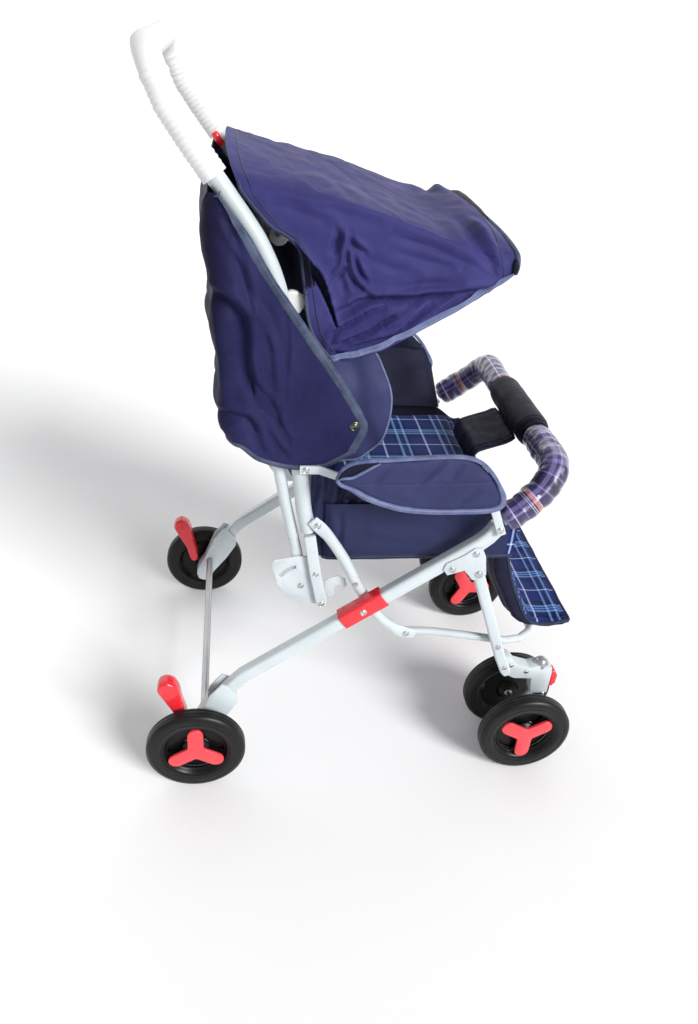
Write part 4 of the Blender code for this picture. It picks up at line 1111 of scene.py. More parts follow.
v3 = lambda L: [(p[0], 0.0, p[1]) for p in L]
ctrl = []
NUC, NSC, NTC = 12, 10, 7
for i in range(NUC + 1):
    u = i / NUC
    h, sh, rg = along(v3(HEM), u), along(v3(SHOULDER), u), along(v3(RIDGE), u)
    row = []
    for k in range(NSC):
        w = k / NSC
        e = along(v3(REAR_EDGE), w)
        st = Vector(v3(REAR_EDGE)[0]).lerp(Vector(v3(REAR_EDGE)[-1]), w)
        p = h.lerp(sh, w) + (e - st) * (1 - u) ** 3.2
        yy = -0.1705 - 0.0030 * math.sin(PI * w)
        row.append(Vector((p.x, yy, p.z)))
    for k in range(0, NTC):
        t = PI / 2 * k / (NTC - 1)
        yy = -0.1705 * math.cos(t) ** 0.78 if k < NTC - 1 else 0.0
        p = sh.lerp(rg, math.sin(t))
        row.append(Vector((p.x, yy, p.z)))
    row = row + [Vector((p.x, -p.y, p.z)) for p in row[-2::-1]]
    ctrl.append(row)
G = refine(ctrl, 14, 9)
# fold lines in side view: line, width, depth
HOOD_FOLDS = [
    # the long ledge low on the side
    ([(0.1860, 0.7405), (0.1993, 0.7458), (0.2109, 0.7535), (0.2228, 0.7564), (0.2412, 0.7570), (0.2596, 0.7576), (0.2780, 0.7588), (0.2900, 0.7613), (0.3086, 0.7629), (0.3235, 0.7644), (0.3453, 0.7691), (0.3650, 0.7720)], 0.0058, 0.0130),
    # crumple over the hinge
    ([(0.1789, 0.8340), (0.1805, 0.8276), (0.1774, 0.8207), (0.1744, 0.8120)], 0.0042, 0.0075),
    ([(0.1940, 0.8250), (0.1985, 0.8210), (0.2034, 0.8172), (0.2110, 0.8130)], 0.0036, 0.0060),
    ([(0.1890, 0.8300), (0.1859, 0.8165), (0.1852, 0.8085), (0.1846, 0.8003), (0.1810, 0.7890)], 0.0034, -0.0060),
    ([(0.1902, 0.8232), (0.1945, 0.8100), (0.1977, 0.7997), (0.2020, 0.7893), (0.2075, 0.7780)], 0.0034, -0.0060),
    ([(0.1965, 0.8077), (0.2030, 0.7963), (0.2098, 0.7860), (0.2150, 0.7804)], 0.0032, 0.0050),
    ([(0.1740, 0.7760), (0.1811, 0.7815), (0.1842, 0.7886), (0.1880, 0.7918)], 0.0034, 0.0055),
    ([(0.1925, 0.7915), (0.1989, 0.7833), (0.2056, 0.7740), (0.2134, 0.7670), (0.2225, 0.7632)], 0.0036, 0.0065),
    ([(0.1870, 0.7887), (0.1872, 0.7769), (0.1906, 0.7630)], 0.0050, 0.0035),
    # band over the hem
    ([(0.1770, 0.7030), (0.1818, 0.7138), (0.1888, 0.7204), (0.2006, 0.7271), (0.2124, 0.7350), (0.2241, 0.7416), (0.2400, 0.7475)], 0.0038, 0.0085),
    ([(0.1790, 0.6975), (0.1901, 0.6999), (0.2022, 0.7054), (0.2143, 0.7109), (0.2287, 0.7177), (0.2380, 0.7256), (0.2540, 0.7359)], 0.0034, 0.0068),
    ([(0.1885, 0.6868), (0.1971, 0.6897), (0.2091, 0.6965), (0.2276, 0.7022), (0.2461, 0.7066), (0.2583, 0.7108), (0.2663, 0.7187), (0.2755, 0.7267), (0.2868, 0.7372), (0.2999, 0.7509)], 0.0038, 0.0075),
    ([(0.2721, 0.7260), (0.2807, 0.7358), (0.2884, 0.7448), (0.2983, 0.7548)], 0.0042, 0.0065),
    ([(0.3090, 0.7435), (0.3201, 0.7521), (0.3294, 0.7574), (0.3432, 0.7637)], 0.0034, 0.0050),
    ([(0.1840, 0.6900), (0.1912, 0.6852), (0.2083, 0.6850)], 0.0036, 0.0045),
    ([(0.2300, 0.7150), (0.2450, 0.7230), (0.2620, 0.7350), (0.2760, 0.7480)], 0.0036, -0.0040),
    # behind the front edge
    ([(0.3300, 0.8500), (0.3420, 0.8367), (0.3511, 0.8255), (0.3589, 0.8153), (0.3655, 0.8061)], 0.0080, 0.0080),
    ([(0.3560, 0.8360), (0.3680, 0.8190), (0.3790, 0.8020)], 0.0055, -0.0030),
    # long pulls along the side
    ([(0.1040, 0.8600), (0.1300, 0.8560), (0.1540, 0.8480), (0.1760, 0.8380)], 0.0070, 0.0036),
    ([(0.0900, 0.8730), (0.1300, 0.8640), (0.1700, 0.8590), (0.2200, 0.8460)], 0.0070, 0.0026),
    ([(0.2450, 0.8330), (0.2850, 0.8230), (0.3250, 0.8090), (0.3500, 0.8000)], 0.0060, 0.0042),
    ([(0.2500, 0.8140), (0.2900, 0.8050), (0.3300, 0.7990)], 0.0060, 0.0032),
    ([(0.2150, 0.8060), (0.2450, 0.7960), (0.2700, 0.7900)], 0.0070, 0.0028),
    ([(0.2500, 0.7680), (0.2760, 0.7760), (0.3000, 0.7790), (0.3300, 0.7780)], 0.0060, 0.0030),
]
TUCK = [(0.1300, 0.8230), (0.1360, 0.8156), (0.1457, 0.8046), (0.1544, 0.7945), (0.1605, 0.7889), (0.1670, 0.7786), (0.1713, 0.7668), (0.1756, 0.7548), (0.1801, 0.7402), (0.1842, 0.7260)]


def tuck(q):
    """The cloth folds in behind this line and comes out again as a tongue along the rear edge."""
    v = Vector(q)
    best, sg, tt = 9.0, 1.0, 0.0
    n = len(TUCK) - 1
    for i in range(n):
        a, b_ = Vector(TUCK[i]), Vector(TUCK[i + 1])
        d = b_ - a
        t = max(0.0, min(1.0, (v - a).dot(d) / d.length_squared))
        e = v - (a + d * t)
        if e.length < best:
            best, tt = e.length, (i + t) / n
            sg = 1.0 if d.x * e.y - d.y * e.x < 0 else -1.0
    if best > 0.05:
        return 0.0
    w = 0.0030 + 0.0200 * (1 - tt) ** 0.9
    dep = 0.0060 + 0.0110 * min(1.0, (1 - tt) * 1.9)
    dep *= min(1.0, tt * 9)
    r = sg * best / w
    if r < 0:
        return 0.0030 * math.exp(-(best / 0.0050) ** 2) * min(1.0, tt * 9)
    up = min(1.0, r / 0.20)
    dn = min(1.0, max(0.0, (r - 0.62) / 0.38))
    if sg > 0 and r > 1.0:
        dn = 1.0
    keep = min(1.0, max(0.0, (0.62 - tt) / 0.20))
    dn *= 1 - keep
    return -dep * up * up * (3 - 2 * up) * (1 - dn * dn * (3 - 2 * dn))


# soft pulls over the top, by place along, width and depth
PULLS = [(0.10, 0.009, 0.0022), (0.15, 0.007, 0.0018), (0.20, 0.010, 0.0026), (0.25, 0.008, 0.0018), (0.31, 0.008, 0.0024)]


def hood_push(i, j, p):
    q = (p.x, p.z)
    side = min(1.0, max(0.0, (abs(p.y) - 0.05) / 0.07))
    side = side * side * (3 - 2 * side)
    k = 1.0 if p.y < 0 else 0.85
    d = 0.0
    if side > 0:
        for line, w, dep in HOOD_FOLDS:
            d += crease(q, line, w, dep)
        d *= side * k
    top = min(1.0, max(0.0, (0.168 - abs(p.y)) / 0.03))
    if top > 0:
        for x0, w, dep in PULLS:
            xx = x0 + 0.45 * (0.17 - abs(p.y)) * (1 if x0 < 0.2 else -0.5) + 0.012 * noise.noise(Vector((p.y * 14, x0 * 40, 0)))
            r = (p.x - xx) / w
            d -= top * dep * math.exp(-r * r) * (0.6 + 0.4 * math.sin(p.y * 30 + x0 * 90))
    sag = -0.0030 * math.sin(PI * min(1, max(0, (p.x - 0.06) / 0.33))) * (1 - side)
    d += sag + 0.0020 * fbm(p, 12.0, 3.1) + 0.0007 * fbm(p, 42.0, 7.7, 2)
    # facets of thin cloth
    d += 0.0011 * (1 - 2 * abs(noise.noise(Vector((p.x * 22 + 2.0, p.y * 16, p.z * 30)))) ** 0.6) * (0.4 + 0.6 * side)
    edge = min(i, len(G) - 1 - i, j, len(G[0]) - 1 - j) / 8.0
    d *= min(1.0, 0.20 + 0.80 * edge)
    hi = 0.0022 if p.x < 0.13 else 0.0065
    d = max(-0.014, min(hi, d))
    if side > 0 and p.x < 0.24:
        d += tuck(q) * side * k
    return d


SGN_HOOD = 1.0
nn = grid_normals(G)[40][20]
if nn.y > 0:
    SGN_HOOD = -1.0
G = push(G, hood_push, SGN_HOOD)
hood = cloth("canopy_cloth", G, M_NAVY, 0.0011, SGN_HOOD, M_DARK)
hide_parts("canopy")
HANDLED.add("canopy")
# painted shade: the strip folded in behind the line gets the dark lining material on its outer faces
for f in hood.data.polygons:
    c = f.center
    if f.material_index == 0 and abs(c.y) > 0.13 and c.x + XM < 0.20 and tuck((c.x + XM, c.z)) < -0.0045:
        f.material_index = 1

R_, C_ = len(G), len(G[0])
HOOD_N = grid_normals(G)
hood_bits = []


def edge_tape(name, pts, nor, half_w, half_t, mat, lift=0.0006, step=0.004):
    """Folded tape along an edge; nor holds the cloth's outward normal at each point."""
    P = [Vector(p) + Vector(n) * lift for p, n in zip(pts, nor)]
    return sweep(name, P, half_w, mat, 12, normal=lambda i, p: nor[i], flat=half_t, angle=70)


def line_of(i0, j0, i1, j1, step=1):
    out = []
    if i0 == i1:
        rng = range(j0, j1 + (1 if j1 >= j0 else -1), step if j1 >= j0 else -step)
        return [(i0, j) for j in rng]
    rng = range(i0, i1 + (1 if i1 >= i0 else -1), step if i1 >= i0 else -step)
    return [(i, j0) for i in rng]


for tag, col, nxt in (("right", 0, 1), ("left", C_ - 1, C_ - 2)):
    idx = line_of(0, col, R_ - 1, col)
    pts = [G[i][3 if col == 0 else C_ - 4] for i, j in idx]
    nor = [HOOD_N[i][j] * SGN_HOOD for i, j in idx]
    t = edge_tape("hem_tape_" + tag, pts, nor, 0.0046, 0.0010, M_BIND)
    hood_bits.append(t)
    for part, j0, j1, hw, mat in (("low", 0, 4 * 9, 0.0020, M_BIND_M), ("up", 4 * 9, 9 * NSC + 10, 0.0022, M_BIND_D)):
        js = [jj if col == 0 else C_ - 1 - jj for jj in range(j0, j1 + 1)]
        pts = [G[0][j].lerp(G[1][j], 0.6) for j in js]
        nor = [HOOD_N[0][j] * SGN_HOOD for j in js]
        hood_bits.append(edge_tape("rear_tape_" + part + "_" + tag, pts, nor, hw, 0.0010, mat))
pts = [G[R_ - 1][j] for j in range(0, C_)]
hood_bits.append(sweep("front_piping", pts, 0.0036, M_BIND_M, 14, angle=70))
# the cloth sleeve round the front wire stands up over the top; it is built on the far half only, in the near-black pad
# material, as painted shade
js = list(range(C_ // 2 - 6, C_ - 9 * 10 + 4))
pts = [G[R_ - 4][j] for j in js]
rr = [0.0022 + 0.0052 * math.sin(PI * k / (len(js) - 1)) ** 0.6 for k in range(len(js))]
hood_bits.append(sweep("front_roll", pts, rr, M_PAD, 16, angle=70))
# near-black pad-material strips just behind the front piping on both sides, down to the lower corners: painted shade
# for the dip there
for tag, js in (("right", range(2, 9 * 10)), ("left", range(C_ - 3, C_ - 9 * 10, -1))):
    pts = [G[R_ - 2][j] for j in js]
    rr = [0.0020 + 0.0026 * math.sin(PI * k / (len(pts) - 1)) ** 0.5 for k in range(len(pts))]
    hood_bits.append(sweep("front_pocket_" + tag, pts, rr, M_PAD, 14, angle=70))
# seam a little in from the front and from the rear edge
for name, row, mat in (("front_seam", R_ - 12, M_BIND_D), ("rear_seam", 7, M_BIND_D)):
    pts = [G[row][j] for j in range(2, C_ - 2)]
    nor = [HOOD_N[row][j] * SGN_HOOD for j in range(2, C_ - 2)]
    hood_bits.append(edge_tape(name, pts, nor, 0.0009, 0.0005, mat, 0.0001))

# red end on the front bow
for tag, s in (("right", -1), ("left", 1)):
    c = Vector((0.3985, s * 0.118, 0.8165))
    ob = sweep("bow_clip_" + tag, [c + Vector((0, q * 0.006, 0)) for q in (-1, -0.7, 0.7, 1)], [0.0030, 0.0040, 0.0040, 0.0030], M_RED, 20)
    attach(ob, "hood")

# ================================================================ back cover
FLAP = [(0.5450, 0.1960), (0.5608, 0.2127), (0.5713, 0.2235), (0.5902, 0.2262), (0.6143, 0.2180), (0.6444, 0.1990), (0.6747, 0.1785), (0.7063, 0.1550), (0.7426, 0.1300), (0.7773, 0.1050), (0.8105, 0.0840), (0.8350, 0.0700), (0.8625, 0.0500), (0.8740, 0.0430)]
REARX = [(0.530, 0.072), (0.545, 0.062), (0.560, 0.054), (0.574, 0.0475), (0.584, 0.0415), (0.6075, 0.0380), (0.625, 0.0392), (0.645, 0.0385), (0.678, 0.0387), (0.7005, 0.0325), (0.7153, 0.0292), (0.7336, 0.0335), (0.7574, 0.0352), (0.7688, 0.0315), (0.7914, 0.0265), (0.8134, 0.0225), (0.835, 0.0220), (0.8614, 0.0275), (0.8772, 0.0330)]
BOT = [(0.0535, 0.5771), (0.0673, 0.5628), (0.0905, 0.5500), (0.1166, 0.5400), (0.1456, 0.5360), (0.1745, 0.5390), (0.1977, 0.5480), (0.2127, 0.5608), (0.2235, 0.5713)]


def cover_point(f, t, yside, c_max=0.030):
    """f: 0 at the front edge to 1 at the rear corner, 2 at the middle of the back; t: 0 bottom to 1 top."""
    ztop = 0.8740
    z = 0.56
    for _ in range(6):
        xf, xr = lerp_table(FLAP, z), lerp_table(REARX, z)
        c = min(c_max, (xf - xr) * 0.9)
        if f <= 1:
            x, yy = xf + (xr + c - xf) * f, -0.1925
        elif f <= 1.5:
            g = (f - 1) / 0.5 * PI / 2
            x, yy = xr + c - c * math.sin(g), -0.1925 + c * (1 - math.cos(g))
        else:
            x, yy = xr, (-0.1925 + c) * (1 - (f - 1.5) / 0.5)
        zb = lerp_table(BOT, x) if f <= 1 else 0.5640 + 0.010 * (f - 1)
        z = zb + (ztop - zb) * t
    return Vector((x, yy * yside, z))


rowsC, fcols = 14, [0, 0.14, 0.28, 0.42, 0.56, 0.70, 0.84, 1.0, 1.12, 1.25, 1.38, 1.5, 1.62, 1.75, 1.88]
ctrl = []
for i in range(rowsC + 1):
    t = i / rowsC
    near = [cover_point(f, t, 1) for f in fcols]
    mid = [cover_point(2.0, t, 1)]
    far = [cover_point(f, t, -1) for f in fcols[::-1]]
    ctrl.append(near + mid + far)
B = refine(ctrl, 10, 7)
SGN_BACK = 1.0
if grid_normals(B)[40][20].y > 0:
    SGN_BACK = -1.0
BACK_FOLDS = [
    ([(0.0340, 0.7610), (0.0445, 0.7577), (0.0581, 0.7487), (0.0673, 0.7370), (0.0708, 0.7201), (0.0709, 0.6977), (0.0733, 0.6749), (0.0782, 0.6567), (0.0869, 0.6423), (0.0994, 0.6276), (0.1109, 0.6140)], 0.0078, 0.0135),
    ([(0.1060, 0.6230), (0.1125, 0.6090), (0.1177, 0.5945), (0.1284, 0.5755)], 0.0042, 0.0080),
    ([(0.0395, 0.7397), (0.0461, 0.6971), (0.0480, 0.6587), (0.0501, 0.6205)], 0.0080, -0.0070),
    ([(0.0377, 0.6103), (0.0574, 0.6092), (0.0753, 0.6067), (0.0849, 0.5942), (0.0876, 0.5771), (0.0929, 0.5598)], 0.0058, 0.0068),
    ([(0.1215, 0.7400), (0.1232, 0.7053), (0.1229, 0.6733), (0.1228, 0.6300)], 0.0032, 0.0032),
    ([(0.0917, 0.6930), (0.0993, 0.6668), (0.1067, 0.6386)], 0.0070, 0.0060),
    ([(0.0447, 0.8454), (0.0541, 0.8278), (0.0671, 0.8033)], 0.0045, -0.0048),
    ([(0.0788, 0.7608), (0.0929, 0.7378), (0.1073, 0.7009)], 0.0060, -0.0045),
    ([(0.0560, 0.8300), (0.0640, 0.8050), (0.0720, 0.7800), (0.0800, 0.7500)], 0.0060, 0.0050),
    ([(0.0980, 0.7250), (0.1010, 0.6980), (0.1060, 0.6700)], 0.0055, 0.0045),
    ([(0.1030, 0.5850), (0.1150, 0.5650), (0.1300, 0.5480)], 0.0045, 0.0038),
    ([(0.0930, 0.5950), (0.1000, 0.5750), (0.1080, 0.5560)], 0.0040, -0.0034),
]


def back_push(i, j, p):
    q = (p.x, p.z)
    side = min(1.0, max(0.0, (abs(p.y) - 0.150) / 0.035))
    mid = 1 - side
    d = 0.0
    if side > 0:
        k = 1.0 if p.y < 0 else 0.8
        for line, w, dep in BACK_FOLDS:
            d += side * k * crease(q, line, w, dep)
    # broad hangs across the back
    d += mid * (0.0055 * math.sin(p.y * 62 + 2.2 * p.z) * (0.4 + 0.6 * min(1, max(0, (0.80 - p.z) / 0.2))) + 0.0030 * math.sin(p.z * 46 + 5 * p.y))
    d += 0.0018 * fbm(p, 9.0, 1.3) + 0.0006 * fbm(p, 38.0, 5.2, 2)
    d += 0.0010 * (1 - 2 * abs(noise.noise(Vector((p.x * 24, p.y * 18 + 4.0, p.z * 16)))) ** 0.6)
    edge = min(i, len(B) - 1 - i, j, len(B[0]) - 1 - j) / 7.0
    d *= min(1.0, 0.15 + 0.85 * edge)
    # stay off the tubes that run inside
    lo = -0.0016 if side > 0.5 and 0.085 < p.x < 0.175 and abs(p.y) > 0.17 and p.z > 0.5 else -0.012
    return max(lo, min(0.0090, d))


B = push(B, back_push, SGN_BACK)
cover = cloth("back_cover_cloth", B, M_NAVY3, 0.0011, SGN_BACK, M_DARK)
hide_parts("back_cover")
HANDLED.add("back_cover")
BR, BC = len(B), len(B[0])
BN = grid_normals(B)
back_bits = []
for tag, col in (("right", 0), ("left", BC - 1)):
    pts = [B[i][col] for i in range(BR)]
    nor = [BN[i][col] * SGN_BACK for i in range(BR)]
    back_bits.append(edge_tape("flap_tape_" + tag, pts, nor, 0.0056, 0.0013, M_BIND_M, 0.0002))
pts = [B[0][j] for j in range(BC)]
nor = [BN[0][j] * SGN_BACK for j in range(BC)]
back_bits.append(edge_tape("cover_hem_tape", pts, nor, 0.0034, 0.0012, M_BIND_M, 0.0002))
for tag, s in (("right", -1), ("left", 1)):
    ob = lathe("snap_" + tag, [(0.0, -0.0006), (0.0062, -0.0006), (0.0064, 0.0006), (0.0056, 0.0012), (0.0050, 0.0009), (0.0046, 0.0016), (0.0034, 0.0025), (0.0016, 0.0030), (0.0, 0.0031)], (0.2130, s * 0.1937, 0.5985), (0, s, 0), M_SNAP, 28, 40, False)
    back_bits.append(ob)

# inner wings beside the child
for tag, s in (("right", -1), ("left", 1)):
    fe = [(0.1180, 0.7480), (0.1600, 0.7300), (0.2060, 0.7050), (0.2310, 0.6877), (0.2412, 0.6722), (0.2512, 0.6481), (0.2552, 0.6204), (0.2504, 0.5889), (0.2417, 0.5683), (0.2200, 0.5500), (0.1900, 0.5440)]
    re = [(0.1020, 0.7500), (0.1080, 0.7150), (0.1120, 0.6900), (0.1150, 0.6700), (0.1180, 0.6500), (0.1210, 0.6350), (0.1240, 0.6200), (0.1280, 0.6000), (0.1320, 0.5800), (0.1360, 0.5550), (0.1400, 0.5400)]
    ctrl = []
    for f, r in zip(fe, re):
        row = []
        for k in range(6):
            t = k / 5
            x, z = r[0] + (f[0] + 0.005 - r[0]) * t, r[1] + (f[1] - r[1]) * t
            out = min(1.0, max(0.0, (0.7000 - z) / 0.055))
            far = 0.1600 + 0.0270 * out * out * (3 - 2 * out)
            yy = 0.1500 + (far - 0.1500) * min(1.0, t * 2.6) ** 0.7
            row.append(Vector((x, s * yy, z)))
        ctrl.append(row)
    Wg = refine(ctrl, 6, 6)
    sg = 1.0 if grid_normals(Wg)[30][15].y * s > 0 else -1.0
    Wg = push(Wg, lambda i, j, p: max(-0.006, min(0.0016, (-0.0045 * math.sin(p.x * 150 + p.z * 40) * 0.5 + 0.0022 * fbm(p, 16.0, 2.0 + s)) * min(1.0, i / 6, (len(Wg) - 1 - i) / 6))), sg)
    wg = cloth("wing_" + tag, Wg, M_NAVY2, 0.0011, sg, M_DARK)
    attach(wg, "backrest")
    wn = grid_normals(Wg)
    c = len(Wg[0]) - 1
    tp = edge_tape("wing_piping_" + tag, [r[c] for r in Wg], [wn[i][c] * sg for i in range(len(Wg))], 0.0015, 0.0011, M_BIND, 0.0002)
    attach(tp, "backrest")

# ================================================================ pads
def pad_block(name, stations, half_y, mat, rows=14, edge=0.6, crown=0.0):
    """A closed pad swept in side view from (lower, upper) point pairs."""
    fine_lo = catmull([(p[0][0], 0, p[0][1]) for p in stations], 4)
    fine_up = catmull([(p[1][0], 0, p[1][1]) for p in stations], 4)
    vs = []
    ring = 0
    for lo, up in zip(fine_lo, fine_up):
        mid = (lo + up) / 2
        h = (up - lo) / 2
        top, bot = [], []
        for i in range(rows + 1):
            t = -1 + 2 * i / rows
            fall = 1 - (1 - edge) * (max(0.0, abs(t) - 0.7) / 0.3) ** 2
            top.append(mid + h * (fall + crown * (1 - t * t)) + Vector((0, t * half_y, 0)))
            bot.append(mid - h * fall + Vector((0, t * half_y, 0)))
        pts = top + bot[::-1]
        ring = len(pts)
        vs += pts
    m = len(fine_lo)
    fs = [(i * ring + j, i * ring + (j + 1) % ring, (i + 1) * ring + (j + 1) % ring, (i + 1) * ring + j) for i in range(m - 1) for j in range(ring)]
    fs.append(tuple(range(ring)))
    fs.append(tuple(range(m * ring - ring, m * ring)))
    return mesh(name, vs, fs, mat, 60)


# seat
st = [((0.191, 0.439), (0.191, 0.450)), ((0.197, 0.4345), (0.197, 0.4555)), ((0.26, 0.4335), (0.26, 0.4570)), ((0.35, 0.4335), (0.35, 0.4570)), ((0.430, 0.4335), (0.430, 0.4570)), ((0.4430, 0.4390), (0.4430, 0.4510))]
seat = pad_block("seat_cushion", st, 0.1530, M_PLAID, 14, 0.6)
inflate(seat, 0.0050, 4.0, 0.0060, 20)


def seat_shape(p, n):
    d = 0.0
    if n.z > 0.3:
        ex = min(p.x - 0.190, 0.4450 - p.x, 0.156 - abs(p.y))
        d -= 0.0022 * math.exp(-((ex - 0.017) / 0.0022) ** 2)
        d += 0.0012 * fbm(p, 20.0, 4.4)
    z = p.z + d
    over = z - 0.4612
    if over > 0 and n.z > 0:
        d -= over * 0.8
    sx = 0.0
    if p.x > 0.4462:
        sx = 0.4462 - p.x
    return (sx, 0.0, d if n.z > 0.3 else (0.0 if p.z > 0.4318 else 0.4318 - p.z))


move_verts(seat, seat_shape)
put_vec(seat, lambda p: (p.x - 0.2984 + 0.705, p.y - 0.0190 + 0.92, p.z))
stand(seat, "seat_pad")

# backrest
def frame_x(z):
    return lerp_table([(0.398, 0.1455), (0.477, 0.128), (0.535, 0.117), (0.63, 0.100), (0.725, 0.083), (0.797, 0.070), (0.82, 0.066)], z)


st = []
for z in (0.480, 0.487, 0.55, 0.62, 0.69, 0.75, 0.800, 0.807):
    x = frame_x(z)
    e = 0.006 if z in (0.480, 0.807) else 0.0
    st.append(((x + 0.0115 + e, z), (x + 0.0300 - e, z)))
back = pad_block("backrest_cushion", st, 0.1430, M_DARK, 14, 0.6)
inflate(back, 0.0055, 4.0, 0.0055, 18)


def back_shape(p, n):
    d = 0.0
    if n.x > 0.3:
        for y0 in (-0.072, 0.0, 0.072):
            d -= 0.0030 * math.exp(-((p.y - y0) / 0.0024) ** 2) * min(1.0, max(0.0, (p.z - 0.50) / 0.02)) * min(1.0, max(0.0, (0.79 - p.z) / 0.02))
        d += 0.0014 * fbm(p, 16.0, 8.0)
    return n * d


move_verts(back, back_shape)
stand(back, "backrest_pad")

# legrest
UP = [(0.4640, 0.4320), (0.4690, 0.400), (0.4772, 0.3590), (0.4908, 0.3180), (0.5090, 0.2775), (0.5255, 0.2460), (0.5445, 0.2305), (0.5740, 0.2285), (0.6075, 0.2350)]
LO = [(0.4505, 0.4320), (0.4525, 0.398), (0.4518, 0.356), (0.4610, 0.3150), (0.4800, 0.2745), (0.5060, 0.2375), (0.5340, 0.2230), (0.5700, 0.2195), (0.6065, 0.2275)]
leg = pad_block("legrest_cushion", list(zip(LO, UP)), 0.1585, M_PLAID, 14, 1.0)
inflate(leg, 0.0050, 4.0, 0.0045, 18)
LEG_MID = [Vector(((a[0] + b_[0]) / 2, 0, (a[1] + b_[1]) / 2)) for a, b_ in zip(LO, UP)]
LEG_S = arc_len(LEG_MID)


def leg_param(p):
    best, out = 9.0, 0.0
    q = Vector((p.x, 0, p.z))
    for i in range(len(LEG_MID) - 1):
        a, b_ = LEG_MID[i], LEG_MID[i + 1]
        d = b_ - a
        t = (q - a).dot(d) / d.length_squared
        tc = max(0.0 if i else -1.0, min(1.0 if i < len(LEG_MID) - 2 else 2.0, t))
        e = (q - (a + d * tc)).length
        if e < best:
            best, out = e, LEG_S[i] + d.length * tc
    return out


def leg_shape(p, n):
    s = leg_param(p)
    ex = min(0.157 - abs(p.y), LEG_S[-1] - s + 0.003)
    d = -0.0022 * math.exp(-((ex - 0.015) / 0.0024) ** 2)
    d += 0.0014 * fbm(p, 22.0, 6.4)
    if n.x < -0.2 and p.z > 0.24:
        # the loose back of the cover
        d += 0.0030 * fbm(p, 14.0, 2.2) - 0.0020 * math.exp(-((math.fmod(p.y + 0.5, 0.078) - 0.039) / 0.006) ** 2)
    return n * max(-0.004, min(0.003, d))


move_verts(leg, leg_shape)
LEG_LINE = leg_param(Vector((0.548, 0, 0.232)))
put_vec(leg, lambda p: (leg_param(p) - LEG_LINE + 0.705, p.y - 0.0160 + 0.92, 0.0))
# plain navy sides and back, plaid front
leg.data.materials.append(M_STRAP)
for f in leg.data.polygons:
    c = f.center
    t = leg_param(Vector((c.x + XM, c.y, c.z)))
    mid = LEG_MID[min(len(LEG_MID) - 1, max(0, sum(1 for q in LEG_S if q < t)))]
    front = f.normal.x * 0.75 + f.normal.z * 0.66
    f.material_index = 0 if front > 0.30 and abs(f.normal.y) < 0.80 else 1
stand(leg, "legrest_pad")
# piping along the seam between the front and the sides
ep = catmull([(p[0] - 0.0030, -0.1530, p[1] - 0.0040) for p in UP], 5)
loop = ep + [Vector((0.6092, -0.1490, 0.2330)), Vector((0.6096, -0.10, 0.2330)), Vector((0.6098, 0, 0.2330)), Vector((0.6096, 0.10, 0.2330)), Vector((0.6092, 0.1490, 0.2330))] + [Vector((p.x, -p.y, p.z)) for p in ep[::-1]]
tree = BVHTree.FromPolygons([v.co for v in leg.data.vertices], [tuple(f.vertices) for f in leg.data.polygons])
laid = []
for q in even(loop, 0.004):
    hit, nor, _, _ = tree.find_nearest(Vector((q.x - XM, q.y, q.z)))
    laid.append(Vector((hit.x + XM, hit.y, hit.z)) + nor * 0.0006)
lt = sweep("legrest_piping", smooth_path(laid, 4), 0.0024, M_BIND_D, 10, angle=70)
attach(lt, "legrest")

# arm pads
ARM_O = [
    (0.1885, 0.5440), (0.1950, 0.5590), (0.2080, 0.5680), (0.2300, 0.5715), (0.2600, 0.5735), (0.2983, 0.5765), (0.3300, 0.5780), (0.3550, 0.5770), (0.3770, 0.5690), (0.3960, 0.5500),
    (0.4090, 0.5290), (0.4150, 0.5130), (0.4120, 0.5010), (0.3960, 0.4955), (0.3680, 0.4945), (0.3300, 0.4940), (0.2876, 0.4970), (0.2600, 0.5040), (0.2300, 0.5160), (0.2080, 0.5300), (0.1930, 0.5370),
]
ao = catmull([(p[0], 0, p[1]) for p in ARM_O + ARM_O[:1]], 5)[:-1]
acx, acz = sum(p.x for p in ao) / len(ao), sum(p.z for p in ao) / len(ao)
vs, lay = [], [(-1.0, 0.90), (-0.8, 0.97), (-0.3, 1.0), (0.3, 1.0), (0.8, 0.97), (1.0, 0.90)]
for q, g in lay:
    vs += [(acx + (p.x - acx) * g, -0.2335 + 0.0048 * q, acz + (p.z - acz) * g) for p in ao]
k = len(ao)
fs = [(i * k + j, i * k + (j + 1) % k, (i + 1) * k + (j + 1) % k, (i + 1) * k + j) for i in range(len(lay) - 1) for j in range(k)]
fs += [tuple(range(k)), tuple(range(len(vs) - 1, len(vs) - 1 - k, -1))]
arm = mesh("arm_cushion_right", vs, fs, M_NAVY2, 60)
inflate(arm, 0.0036, 5.0, 0.0042, 18)


def arm_shape(p, n):
    d = 0.0
    seam = 0.5400 + (p.x - 0.27) * 0.020
    if abs(n.y) > 0.3:
        d -= 0.0016 * math.exp(-((p.z - seam) / 0.0016) ** 2) * min(1.0, max(0.0, (p.x - 0.20) / 0.02)) * min(1.0, max(0.0, (0.405 - p.x) / 0.02))
        for a, b_, w_, dd in (((0.322, 0.5690), (0.296, 0.5440), 0.0050, 0.0034), ((0.352, 0.5680), (0.335, 0.5500), 0.0045, 0.0020), ((0.250, 0.5220), (0.290, 0.5120), 0.0050, 0.0014), ((0.375, 0.5300), (0.350, 0.5080), 0.0050, 0.0014), ((0.255, 0.5620), (0.235, 0.5450), 0.0050, 0.0018)):
            d += crease((p.x, p.z), [a, b_], w_, dd)
        d += 0.0010 * fbm(p, 18.0, 1.7) + 0.0004 * fbm(p, 60.0, 2.7, 2)
    v = n * d
    yy = p.y + v.y
    # the rail runs on the inner side
    if yy > -0.2272:
        v.y -= yy + 0.2272
    if yy < -0.2432:
        v.y += (-0.2432 - yy) * 0.8
    return v


